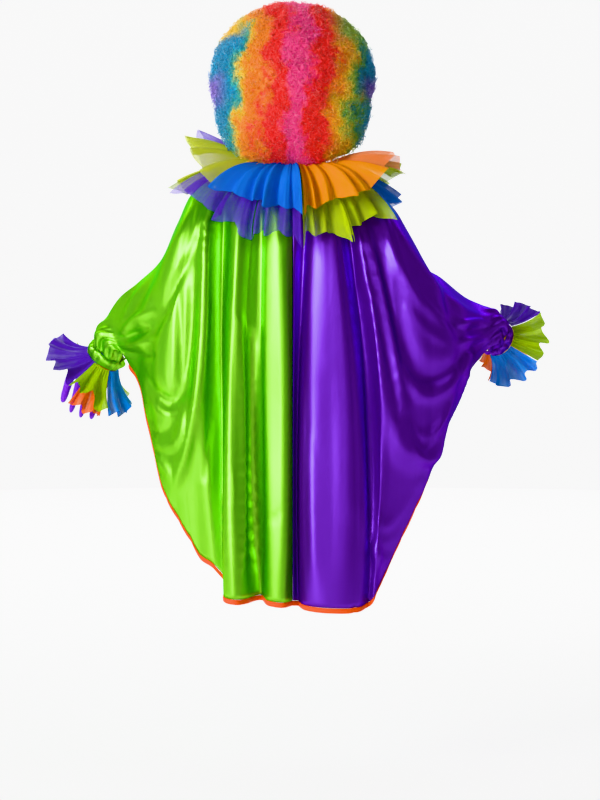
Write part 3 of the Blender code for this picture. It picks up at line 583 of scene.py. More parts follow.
LIME_SATIN = Satin("lime_satin", paint(0.05, 0.62, 0.0), paint(0.0, 0.48, 0.0), paint(0.72, 0.95, 0.36))
PURPLE_SATIN = Satin(
    "purple_satin", paint(0.35, 0.15, 0.58), paint(0.27, 0.10, 0.46), paint(0.49, 0.28, 0.80)
)
ORANGE_TAPE = Tape("orange_tape", paint(0.90, 0.34, 0.0), paint(0.85, 0.25, 0.0))
ORANGE_THREAD = Thread("orange_thread", paint(0.95, 0.36, 0.05))
BLUE_NET = Net("blue_net", paint(0.16, 0.52, 0.92), paint(0.05, 0.31, 0.72), 0.97, 0.22)
BLUE_SHEER = Net("blue_sheer", paint(0.02, 0.55, 0.88), paint(0.0, 0.38, 0.78), 0.97, 0.1, slot="blue_net")
ORANGE_NET = Net("orange_net", paint(0.89, 0.60, 0.0), paint(0.85, 0.43, 0.0), 0.97, 0.20)
ORANGE_SHEER = Net(
    "orange_sheer", paint(0.88, 0.44, 0.0), paint(0.86, 0.32, 0.0), 0.97, 0.1, slot="orange_net"
)
CUFF_PURPLE = Net(
    "cuff_purple", paint(0.35, 0.19, 0.70), paint(0.25, 0.10, 0.56), 1.0, 0.30, slot="purple_net"
)
CUFF_LIME = Net("cuff_lime", paint(0.60, 0.72, 0.02), paint(0.42, 0.58, 0.0), 1.0, 0.25, slot="lime_net")
LIME_NET = Net("lime_net", paint(0.74, 0.82, 0.06), paint(0.58, 0.70, 0.02), 0.94, 0.30)
PURPLE_NET = Net("purple_net", paint(0.42, 0.28, 0.78), paint(0.32, 0.18, 0.66), 0.93, 0.36)
YELLOW_NET = Net("yellow_net", paint(0.78, 0.80, 0.32), paint(0.62, 0.68, 0.18), 0.93, 0.20)
PEACH_NET = Net("peach_net", paint(0.88, 0.56, 0.34), paint(0.84, 0.40, 0.20), 0.90, 0.22)
PURPLE_KNIT = Knit("purple_knit", paint(0.46, 0.12, 0.80), paint(0.32, 0.05, 0.62))
YELLOW_KNIT = Knit("yellow_knit", paint(1.0, 0.74, 0.04), paint(0.96, 0.62, 0.0))

VIOLET = paint(0.60, 0.44, 0.84)
TEAL = paint(0.0, 0.62, 0.80)
SEA = paint(0.26, 0.74, 0.66)
GREEN = paint(0.54, 0.80, 0.36)
GOLD = paint(1.0, 0.84, 0.22)
AMBER = paint(1.0, 0.60, 0.12)
RED = paint(1.0, 0.20, 0.16)
ROSE = paint(1.0, 0.32, 0.60)
HAIR_STOPS = (
    (0.00, TEAL),
    (0.12, TEAL),
    (0.17, SEA),
    (0.21, GOLD),
    (0.26, AMBER),
    (0.31, AMBER),
    (0.36, RED),
    (0.44, RED),
    (0.49, ROSE),
    (0.58, ROSE),
    (0.63, RED),
    (0.71, RED),
    (0.76, AMBER),
    (0.83, GOLD),
    (0.88, GREEN),
    (0.93, TEAL),
)
CURL_BANDS = HairBands("curl_bands", 0.200, 0.0, HAIR_STOPS, slot="wig_hair")
# the under-hair takes painted shade, deep 0.08, as though the curls over it shade it
ROOT_BANDS = HairBands("root_bands", 0.200, 0.08, HAIR_STOPS, slot="wig_hair")
WIG_NET = CapNet("wig_net", (0.012, 0.012, 0.014))
FLOOR_PAINT = StudioPaint("floor_paint", (0.88, 0.88, 0.88))
BACKDROP_PAINT = StudioPaint("backdrop_paint", (0.14, 0.14, 0.14), 1.20)

_made_materials: dict = {}


def material_of(finish: Finish) -> bpy.types.Material:
    """The material of a finish, made once."""
    if finish.name not in _made_materials:
        _made_materials[finish.name] = finish.material()
    return _made_materials[finish.name]


# ---- Meshes ----


def unit(vectors: Array) -> Array:
    """The vectors of an array along its last axis, each of length 1."""
    return vectors / np.maximum(np.linalg.norm(vectors, axis=-1, keepdims=True), 1e-12)


def distances(points: Array) -> Array:
    """How far along a line each of its points is."""
    return np.concatenate([[0.0], np.cumsum(np.linalg.norm(np.diff(points, axis=0), axis=1))])


def points_at(places: Array, reach: Array, line: Array) -> Array:
    """Points of a line.

    Args:
        places: How far along the line they are.
        reach: How far along it each of the line's own points is.
        line: Its own points.

    Returns:
        The points.
    """
    return np.stack([np.interp(places, reach, line[:, k]) for k in range(3)], axis=-1)


def bell(away: Array, width: float) -> Array:
    """1 in the middle, falling softly towards 0 past a width."""
    return np.exp(-((away / width) ** 2))


def smooth_rows(rows: Array, steps: int) -> Array:
    """Points between the rows of an array, on a Catmull-Rom curve through them.

    Args:
        rows: The rows, as points or as lines of points.
        steps: How many steps to each gap.

    Returns:
        The finer array.
    """
    padded = np.concatenate([2 * rows[:1] - rows[1:2], rows, 2 * rows[-1:] - rows[-2:-1]])
    made = []
    for i in range(len(rows) - 1):
        before, first, second, after = padded[i : i + 4]
        for step in range(steps):
            u = step / steps
            made.append(
                first
                + 0.5 * u * (second - before)
                + u * u * (before - 2.5 * first + 2 * second - 0.5 * after)
                + u**3 * (1.5 * (first - second) + 0.5 * (after - before))
            )
    made.append(rows[-1])
    return np.array(made)


def deselect() -> None:
    """Leaves nothing selected, so that an operator acts on what is picked next."""
    for thing in bpy.context.view_layer.objects:
        thing.select_set(False)


def apply_modifiers(piece: Piece) -> None:
    """Applies a piece's modifiers."""
    deselect()
    bpy.context.view_layer.objects.active = piece
    piece.select_set(True)
    for modifier in list(piece.modifiers):
        bpy.ops.object.modifier_apply(modifier=modifier.name)
    piece.select_set(False)


def mesh_piece(
    name: str,
    points: Array,
    faces: Sequence[tuple],
    finishes: Sequence[Finish],
    uvs: Optional[Array] = None,
    finish_of_face: Optional[Sequence[int]] = None,
) -> Piece:
    """A smooth mesh object with its place in its mesh.

    Args:
        name: The piece's name.
        points: Its points.
        faces: Its faces, as point numbers.
        finishes: Its finishes.
        uvs: Two coordinates for each point, for patterns that follow the cloth.
        finish_of_face: The finish's number, for each face.

    Returns:
        The object.
    """
    mesh = bpy.data.meshes.new(name)
    mesh.from_pydata(np.asarray(points, float).reshape(-1, 3).tolist(), [], [tuple(f) for f in faces])
    for finish in finishes:
        mesh.materials.append(material_of(finish))
    if uvs is not None:
        layer = mesh.uv_layers.new(name="cloth")
        points_of_faces = np.zeros(len(mesh.loops), dtype=np.int32)
        mesh.loops.foreach_get("vertex_index", points_of_faces)
        layer.data.foreach_set("uv", np.asarray(uvs, np.float32).reshape(-1, 2)[points_of_faces].ravel())
    if finish_of_face is not None:
        mesh.polygons.foreach_set("material_index", np.asarray(finish_of_face, np.int32))
    mesh.update()
    mesh.shade_smooth()
    piece = bpy.data.objects.new(name, mesh)
    bpy.context.scene.collection.objects.link(piece)
    return piece


def grid_faces(columns: int, rows: int, closed: bool = False, flip: bool = False) -> list:
    """The four-sided faces of a grid of points.

    Args:
        columns: How many columns.
        rows: How many points in a column.
        closed: Whether the last column joins the first.
        flip: Whether the faces point the other way.

    Returns:
        The faces.
    """
    faces = []
    for c in range(columns if closed else columns - 1):
        here, following = c * rows, (c + 1) % columns * rows
        for r in range(rows - 1):
            face = (here + r, here + r + 1, following + r + 1, following + r)
            faces.append(face[::-1] if flip else face)
    return faces


def tube_faces(sections: int, ring: int, closed: bool = False) -> list:
    """The faces of a tube.

    Args:
        sections: How many sections.
        ring: How many points in a section, which is a closed ring.
        closed: Whether the last section joins the first.

    Returns:
        The faces.
    """
    faces = []
    for c in range(sections if closed else sections - 1):
        here, beyond = c * ring, (c + 1) % sections * ring
        for k in range(ring):
            following = (k + 1) % ring
            faces.append((here + k, beyond + k, beyond + following, here + following))
    return faces


def grid_uvs(grid: Array) -> Array:
    """Coordinates in metres for a grid of cloth: across its columns at mid length, and down each column."""
    across = distances(grid[:, grid.shape[1] // 2])
    steps = np.linalg.norm(np.diff(grid, axis=1), axis=2)
    down = np.concatenate([np.zeros((len(grid), 1)), np.cumsum(steps, axis=1)], axis=1)
    return np.stack([np.repeat(across[:, None], grid.shape[1], axis=1), down], axis=2)


def thicken(piece: Piece, thickness: float) -> None:
    """Gives a sheet, whose faces point outwards, its thickness on the inside."""
    wall = piece.modifiers.new("thickness", "SOLIDIFY")
    wall.thickness = thickness
    wall.offset = -1.0
    apply_modifiers(piece)


def turn_outwards(piece: Piece, merged: float = 0.0) -> None:
    """Turns the faces of each closed part of a piece outwards.

    Args:
        piece: The piece.
        merged: How close points are that are merged first, or 0 to merge none.
    """
    shaped = bmesh.new()
    shaped.from_mesh(piece.data)
    if merged:
        bmesh.ops.remove_doubles(shaped, verts=shaped.verts, dist=merged)
    bmesh.ops.recalc_face_normals(shaped, faces=shaped.faces)
    shaped.to_mesh(piece.data)
    shaped.free()


def dress(piece: Piece, finish: Finish, *nodes: str) -> Piece:
    """Lets a piece ride on the body and stand for its solids.

    Args:
        piece: The piece.
        finish: The piece's finish; not used.
        nodes: The solids that it replaces.

    Returns:
        The piece.
    """
    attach(piece, BODY)
    if nodes:
        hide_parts(*nodes)
    triangles = sum(len(face.vertices) - 2 for face in piece.data.polygons)
    area = sum(face.area for face in piece.data.polygons)
    LOG.info("%s: %d triangles, %.4f square metres", piece.name, triangles, area)
    return piece


def table(kind: type, *rows: tuple) -> tuple:
    """Rows of plain values as records of one kind."""
    return tuple(kind(*row) for row in rows)


# ---- Poncho ----


@dataclass(frozen=True)
class FoldLine:
    """One ridge or valley of a panel, from the top edge to the hem.

    along is its place on the top edge, from 0 at the neck's centre to 1 at the wrist.
    """

    name: str
    along: float
    mid_x: float
    mid_y: float
    hem_x: float
    hem_y: float
    hem_z: float


@dataclass(frozen=True)
class SleeveRing:
    """A half ring near the wrist: up is its distance from the cuff, ends is where it stops, in degrees."""

    name: str
    up: float
    radius: float
    ends: float


@dataclass(frozen=True)
class Crease:
    """A soft ridge, or a trough where its height is below 0, along a curve in X and Z."""

    name: str
    start: Array
    middle: Array
    end: Array
    half_width: float
    height: float


def fold_lines(*rows: tuple) -> tuple:
    """Fold lines from their names, their places along the top edge and their sizes in millimetres."""
    return tuple(FoldLine(name, along, *(size / 1000 for size in sizes)) for name, along, *sizes in rows)


def crease_lines(*rows: tuple) -> tuple:
    """Creases from their names and their sizes in millimetres."""
    return tuple(Crease(name, *(np.array(size) / 1000 for size in sizes)) for name, *sizes in rows)


@dataclass(frozen=True)
class Sleeve:
    """The sleeve's end: the middle of the cuff and the way the forearm points."""

    centre: Vector
    axis: Vector


SEAM_GAP = 0.0003
SEAM_PROBE = 0.004
SATIN_THICKNESS = 0.0009
SATIN_WALL = 0.0016
NECK_RADIUS = 0.078
NECK_TILT = 0.064
NECK_SHARE = 0.16
SHOULDER_ROLL = 0.106
ARM_ROLL = 0.070
ARM_SHARE = 0.3
ROW_CROWDING = 1.18
BINDING_WIDTH = 0.012
BINDING_PROUD = 0.0007
BINDING_GAP = 0.0005
CUFF_RADIUS = 0.044
GATHER_COUNT = 3
GATHER_HEIGHT = 0.006

NECK_SIDE = np.array([1.0, 0, 0])
NECK_UP = unit(np.array([0, NECK_TILT, 1.0]))
NECK_BACK = unit(np.array([0, -1.0, NECK_TILT]))

# x, y, z of the seam over the shoulder and arm, from the neck to the forearm
LEFT_SEAM = (
    (-0.078, 0.000, 0.000),
    (-0.138, 0.000, -0.012),
    (-0.230, 0.000, -0.042),
    (-0.277, 0.005, -0.127),
    (-0.317, 0.024, -0.212),
    (-0.374, 0.050, -0.265),
    (-0.423, 0.072, -0.304),
)
RIGHT_SEAM = (
    (0.078, 0.000, 0.000),
    (0.124, 0.000, -0.020),
    (0.225, 0.000, -0.074),
    (0.270, 0.005, -0.136),
    (0.305, 0.020, -0.219),
    (0.357, 0.040, -0.254),
    (0.418, 0.080, -0.300),
)
LEFT_SLEEVE = Sleeve(Vector((-0.451, 0.120, -0.430)), Vector((-0.56, 0.35, -0.75)).normalized())
RIGHT_SLEEVE = Sleeve(Vector((0.489, 0.130, -0.392)), Vector((0.62, 0.70, -0.34)).normalized())
SLEEVE_RINGS = table(
    SleeveRing,
    ("puff", 0.036, 0.056, 162.0),
    ("wrist", 0.0, CUFF_RADIUS, 176.0),
)

# name, along from 0 to 1, and mid_x, mid_y, hem_x, hem_y, hem_z in millimetres
BACK_LEFT_FOLDS = fold_lines(
    ("centre_seam", 0.0, 0, -140, 0, -162, -1020),
    ("back_ridge", 0.045, -24, -170, -24, -200, -1020),
    ("broad_left", 0.08, -62, -160, -58, -188, -1016),
    ("back_valley", 0.11, -79, -142, -74, -138, -1010),
    ("tube_right", 0.16, -112, -154, -102, -186, -1011),
    ("tube_crest", 0.205, -138, -176, -132, -216, -1011),
    ("tube_left", 0.24, -155, -160, -160, -194, -1005),
    ("tube_return", 0.27, -166, -116, -154, -148, -975),
    ("side_ridge", 0.3, -203, -156, -185, -146, -935),
    ("side_slack", 0.34, -236, -150, -216, -128, -916),
    ("side_roll", 0.375, -262, -144, -238, -122, -875),
    ("arm_slack", 0.43, -286, -134, -267, -112, -828),
    ("arm_roll", 0.5, -308, -120, -297, -100, -776),
    ("low_slack", 0.596, -328, -94, -320, -78, -708),
    ("low_roll", 0.69, -352, -60, -347, -40, -601),
    ("sleeve_side", 0.78, -386, -6, -372, 30, -510),
    ("sleeve_end", 0.868, -425, 30, -392, 56, -472),
)
FRONT_LEFT_FOLDS = fold_lines(
    ("centre_seam", 0.0, 0, 145, 0, 172, -988),
    ("chest_ridge", 0.055, -40, 172, -45, 214, -992),
    ("chest_valley", 0.11, -86, 144, -88, 162, -984),
    ("side_rise", 0.16, -112, 158, -120, 198, -986),
    ("side_crest", 0.205, -136, 172, -147, 212, -980),
    ("side_fall", 0.24, -156, 154, -170, 178, -966),
    ("side_valley", 0.27, -172, 132, -186, 150, -952),
    ("hip_ridge", 0.3, -202, 158, -208, 174, -936),
    ("hip_slack", 0.34, -232, 154, -236, 162, -906),
    ("hip_roll", 0.375, -258, 150, -260, 152, -868),
    ("arm_slack", 0.43, -284, 144, -284, 142, -818),
    ("arm_roll", 0.5, -308, 142, -310, 136, -760),
    ("low_slack", 0.596, -330, 138, -332, 130, -690),
    ("low_roll", 0.69, -356, 142, -360, 128, -604),
    ("sleeve_side", 0.78, -366, 150, -380, 124, -508),
    ("sleeve_end", 0.868, -380, 156, -402, 112, -470),
)
BACK_RIGHT_FOLDS = fold_lines(
    ("centre_seam", 0.0, 0, -140, 0, -162, -1020),
    ("seam_shadow", 0.055, 13, -122, 14, -146, -1023),
    ("broad_left", 0.09, 29, -156, 30, -184, -1028),
    ("broad_middle", 0.125, 84, -170, 80, -204, -1032),
    ("broad_right", 0.16, 138, -164, 142, -190, -1032),
    ("deep_valley", 0.205, 170, -122, 174, -152, -1026),
    ("long_ridge", 0.24, 196, -150, 188, -160, -1012),
    ("long_slack", 0.27, 224, -142, 197, -144, -992),
    ("side_ridge", 0.3, 252, -140, 212, -130, -962),
    ("side_slack", 0.34, 278, -134, 234, -122, -914),
    ("side_roll", 0.375, 302, -128, 256, -116, -866),
    ("arm_slack", 0.43, 326, -118, 288, -106, -800),
    ("arm_roll", 0.5, 360, -106, 310, -88, -752),
    ("low_slack", 0.596, 386, -86, 332, -52, -690),
    ("low_roll", 0.69, 414, -58, 362, -8, -612),
    ("sleeve_side", 0.78, 440, -10, 402, 36, -520),
    ("sleeve_end", 0.868, 476, 32, 434, 60, -468),
)
FRONT_RIGHT_FOLDS = fold_lines(
    ("centre_seam", 0.0, 0, 145, 0, 172, -988),
    ("chest_ridge", 0.055, 42, 170, 48, 210, -993),
    ("chest_valley", 0.11, 84, 146, 92, 164, -986),
    ("side_rise", 0.16, 116, 162, 128, 204, -988),
    ("side_crest", 0.205, 146, 170, 158, 204, -980),
    ("side_fall", 0.24, 168, 150, 180, 172, -966),
    ("side_valley", 0.27, 190, 134, 200, 150, -946),
    ("hip_ridge", 0.3, 220, 158, 222, 172, -922),
    ("hip_slack", 0.34, 250, 160, 250, 160, -884),
    ("hip_roll", 0.375, 278, 159, 276, 150, -838),
    ("arm_slack", 0.43, 306, 154, 304, 142, -786),
    ("arm_roll", 0.5, 334, 152, 332, 136, -724),
    ("low_slack", 0.596, 356, 150, 350, 130, -654),
    ("low_roll", 0.69, 380, 153, 376, 130, -580),
    ("sleeve_side", 0.78, 402, 158, 400, 126, -506),
    ("sleeve_end", 0.868, 416, 150, 424, 114, -460),
)

# broad sweeps of cloth: name, and start, middle, end, half_width, height in millimetres
BACK_LEFT_SWAGS = crease_lines(
    ("shoulder_pull", (-250, -80), (-280, -288), (-408, -378), 24, 16),
    ("side_sweep", (-200, -100), (-205, -640), (-292, -730), 26, 14),
    ("arm_hollow", (-358, -468), (-235, -720), (-226, -240), 26, -16),
)
BACK_RIGHT_SWAGS = crease_lines(
    ("shoulder_pull", (225, -100), (270, -370), (462, -362), 24, 18),
    ("long_swag", (172, -80), (215, -1050), (440, -440), 26, 18),
    ("arm_hollow", (215, -200), (265, -620), (430, -410), 24, -12),
    ("hip_swag", (165, -800), (225, -930), (305, -750), 26, 10),
)
FRONT_LEFT_SWAGS = crease_lines(
    ("shoulder_pull", (-245, -90), (-290, -300), (-405, -385), 24, 14),
    ("side_sweep", (-205, -120), (-215, -620), (-310, -760), 28, 14),
    ("arm_hollow", (-390, -450), (-250, -700), (-235, -260), 28, -12),
)
FRONT_RIGHT_SWAGS = crease_lines(
    ("shoulder_pull", (240, -120), (290, -338), (440, -360), 24, 17),
    ("long_swag", (185, -100), (225, -980), (430, -450), 28, 14),
    ("arm_hollow", (225, -220), (275, -600), (425, -420), 26, -11),
)

# taut lines from shoulder to wrist, edges of the hanging folds, and press marks, in the same columns
BACK_LEFT_CREASES = crease_lines(
    ("shoulder_taut", (-233, -55), (-276, -190), (-367, -375), 13, 11.5),
    ("under_taut", (-225, -160), (-283, -305), (-345, -410), 14, -10.5),
    ("short_pull", (-222, -85), (-214, -160), (-268, -240), 11, 6.5),
    ("drop_line", (-269, -245), (-261, -400), (-257, -520), 12, -6),
    ("long_line", (-206, -125), (-194, -620), (-295, -775), 12, 13),
    ("long_groove", (-184, -120), (-172, -520), (-206, -720), 11, -9),
    ("lobe_edge", (-150, -320), (-152, -680), (-160, -1020), 10, 5),
    ("lobe_brink", (-121, -360), (-116, -660), (-114, -1005), 11, 15),
    ("deep_hollow", (-94, -400), (-89, -700), (-86, -1010), 15, -24),
    ("broad_soft", (-18, -180), (-15, -560), (-18, -1000), 14, 8),
    ("u_groove", (-375, -452), (-298, -596), (-243, -505), 12, -8),
    ("u_rise", (-258, -520), (-238, -440), (-230, -290), 12, -5),
    ("u_shelf", (-362, -500), (-300, -610), (-262, -560), 13, 7),
    ("curl_one", (-258, -560), (-244, -670), (-322, -648), 13, 9.5),
    ("curl_pocket", (-345, -612), (-302, -640), (-282, -590), 10, -6),
    ("curl_two", (-330, -676), (-302, -690), (-276, -744), 11, 6.5),
    ("curl_groove", (-326, -662), (-290, -684), (-264, -648), 9, -5),
    ("edge_tick_one", (-356, -552), (-346, -562), (-336, -560), 6, 3.6),
    ("edge_tick_two", (-348, -590), (-338, -602), (-326, -598), 6, -3.2),
    ("edge_tick_three", (-340, -628), (-330, -640), (-318, -632), 6, 3.6),
    ("edge_tick_four", (-322, -712), (-312, -722), (-300, -716), 6, -3.4),
    ("press_one", (-72, -806), (-50, -830), (-26, -796), 8, -2.2),
    ("press_two", (-140, -700), (-130, -742), (-134, -790), 8, 1.8),
    ("arm_fan_one", (-404, -350), (-368, -282), (-322, -214), 11, 10),
    ("arm_fan_two", (-406, -386), (-380, -352), (-334, -334), 10, 13.5),
    ("arm_fan_three", (-406, -400), (-372, -384), (-340, -376), 9, -11.5),
    ("arm_fan_four", (-408, -416), (-372, -420), (-336, -400), 10, 14.5),
    ("arm_fan_five", (-404, -432), (-370, -446), (-334, -440), 9, -10),
)
BACK_RIGHT_CREASES = crease_lines(
    ("plateau_brink", (24, -220), (27, -620), (30, -1010), 12, -6),
    ("plateau_edge", (150, -160), (160, -560), (176, -1000), 13, 7),
    ("plateau_fall", (176, -300), (188, -620), (198, -860), 18, -10),
    ("long_line", (166, -115), (222, -330), (262, -575), 10, 8),
    ("long_groove", (156, -150), (206, -340), (246, -580), 10, -6),
    ("long_back", (184, -130), (236, -330), (276, -520), 12, -6),
    ("swag_low", (256, -545), (318, -845), (416, -490), 14, 11.5),
    ("swag_low_groove", (268, -585), (316, -782), (402, -500), 12, -6),
    ("swag_mid", (270, -585), (312, -695), (396, -520), 10, 6),
    ("swag_high", (262, -480), (310, -604), (424, -444), 13, 8.5),
    ("swag_hollow", (252, -420), (302, -560), (418, -424), 13, -8),
    ("side_hollow", (238, -290), (256, -410), (286, -480), 18, -6),
    ("shoulder_ridge", (232, -110), (330, -330), (464, -350), 12, 9.5),
    ("under_ridge", (226, -150), (328, -388), (452, -386), 14, -8),
    ("chest_pull", (214, -90), (224, -170), (246, -230), 12, 6),
    ("elbow_soft", (270, -330), (320, -400), (372, -406), 13, 4.5),
    ("hip_swag", (180, -862), (212, -965), (262, -880), 12, 8.5),
    ("hip_hollow", (182, -800), (216, -925), (298, -766), 16, -8),
    ("hip_curl", (190, -908), (206, -934), (232, -916), 9, 5),
    ("hip_tick", (184, -938), (198, -960), (216, -952), 8, -4),
    ("broad_crease", (57, -652), (76, -718), (94, -770), 8, -2.4),
    ("broad_press", (34, -640), (44, -840), (50, -1000), 16, 4),
    ("broad_dip", (82, -500), (90, -760), (84, -1010), 20, -3.5),
    ("elbow_fan_one", (466, -362), (430, -352), (386, -372), 9, 8.5),
    ("elbow_fan_two", (464, -378), (426, -376), (392, -390), 9, -7),
    ("elbow_fan_three", (462, -394), (424, -402), (390, -410), 9, 8.5),
    ("elbow_fan_four", (458, -410), (424, -428), (400, -434), 9, -6.5),
)
FRONT_LEFT_CREASES = crease_lines(
    ("shoulder_taut", (-225, -80), (-285, -215), (-358, -330), 13, 7.5),
    ("under_taut", (-218, -130), (-280, -280), (-350, -380), 14, -6.5),
    ("chest_long", (-120, -120), (-128, -480), (-150, -940), 14, 6),
    ("chest_hollow", (-60, -150), (-66, -500), (-70, -930), 14, -4.5),
    ("hip_line", (-198, -150), (-204, -520), (-270, -780), 12, 8.5),
    ("hip_groove", (-182, -160), (-186, -480), (-214, -740), 11, -5.5),
    ("cuff_swag", (-386, -462), (-306, -620), (-248, -520), 14, -8.5),
    ("cuff_shelf", (-370, -510), (-300, -660), (-250, -590), 13, 8.5),
    ("low_swag", (-340, -620), (-280, -760), (-224, -680), 14, 7),
    ("elbow_fan_one", (-398, -396), (-362, -362), (-322, -372), 10, 8),
    ("elbow_fan_two", (-400, -420), (-358, -404), (-316, -414), 10, -6.5),
    ("press_one", (-110, -742), (-96, -770), (-70, -760), 8, -2),
)
FRONT_RIGHT_CREASES = crease_lines(
    ("shoulder_taut", (228, -104), (300, -240), (412, -336), 13, 8),
    ("under_taut", (218, -142), (288, -300), (396, -384), 14, -6.5),
    ("chest_long", (118, -130), (130, -500), (156, -930), 14, 6),
    ("chest_hollow", (62, -150), (68, -520), (74, -940), 14, -4.5),
    ("hip_line", (200, -160), (212, -500), (262, -760), 12, 8.5),
    ("hip_groove", (186, -170), (196, -460), (216, -700), 11, -5.5),
    ("cuff_swag", (424, -450), (326, -680), (246, -520), 14, 9.5),
    ("cuff_hollow", (420, -430), (322, -600), (250, -440), 13, -6.5),
    ("low_swag", (362, -590), (300, -750), (240, -660), 14, 7),
    ("elbow_fan_one", (440, -368), (410, -356), (372, -372), 10, 8),
    ("elbow_fan_two", (440, -390), (408, -390), (376, -400), 10, -6.5),
    ("press_one", (100, -690), (118, -716), (146, -700), 8, 2),
)


class Side:
    """One half of the poncho: its seam over the shoulder and arm, and its sleeve's end."""

    def __init__(self, sign: int, seam: tuple, sleeve: Sleeve) -> None:
        """Works out the seam's curve.

        Args:
            sign: -1 on the wearer's left and 1 on the right.
            seam: The seam's points.
            sleeve: The sleeve's end.
        """
        self.sign = sign
        self.sleeve = sleeve
        self.ring_up = unit(np.array(Vector((0, 0, 1)) - sleeve.axis * sleeve.axis.z))
        ring_back = np.cross(np.array(sleeve.axis), self.ring_up)
        self.ring_back = ring_back * -np.sign(ring_back[1])
        points = [list(point) for point in seam]
        points += [self.ring_point(ring, 0.0, 1.0) for ring in SLEEVE_RINGS]
        self.curve = smooth_rows(np.array(points), 12)
        self.distance = distances(self.curve)
        self.ring_along = self.alongs_of_rings()

    def ring_centre(self, ring: SleeveRing) -> Array:
        """The middle of a sleeve ring."""
        return np.array(self.sleeve.centre - self.sleeve.axis * ring.up)

    def ring_point(self, ring: SleeveRing, angle: float, facing: float) -> Array:
        """A point of a sleeve ring.

        Args:
            ring: The ring.
            angle: From the ring's top, in radians.
            facing: 1 towards the back and -1 towards the front.

        Returns:
            The point.
        """
        outward = math.cos(angle) * self.ring_up + facing * math.sin(angle) * self.ring_back
        return self.ring_centre(ring) + ring.radius * outward

    def alongs_of_rings(self) -> list:
        """Where each ring's top lies on the top edge, from 0 to 1."""
        places = []
        for ring in SLEEVE_RINGS:
            top = self.ring_point(ring, 0.0, 1.0)
            nearest = np.linalg.norm(self.curve - top, axis=1).argmin()
            share = self.distance[nearest] / self.distance[-1]
            places.append(NECK_SHARE + (1 - NECK_SHARE) * share)
        return places

    def top_edge(self, along: float, facing: float) -> tuple:
        """A point of the top edge.

        Args:
            along: From 0 at the neck's centre to 1 at the wrist.
            facing: 1 for the back and -1 for the front.

        Returns:
            The point, and the level direction across the seam there.
        """
        if along < NECK_SHARE:
            turn = along / NECK_SHARE * math.pi / 2
            back = facing * math.cos(turn)
            return NECK_RADIUS * (self.sign * math.sin(turn) * NECK_SIDE + back * NECK_BACK), np.zeros(3)
        place = (along - NECK_SHARE) / (1 - NECK_SHARE) * self.distance[-1]
        places = place + np.array([-SEAM_PROBE, 0.0, SEAM_PROBE])
        before, point, after = points_at(places, self.distance, self.curve)
        across = unit(np.cross(after - before, [0, 0, 1]))
        return point, across * -facing * np.sign(across[1])


LEFT = Side(-1, LEFT_SEAM, LEFT_SLEEVE)
RIGHT = Side(1, RIGHT_SEAM, RIGHT_SLEEVE)


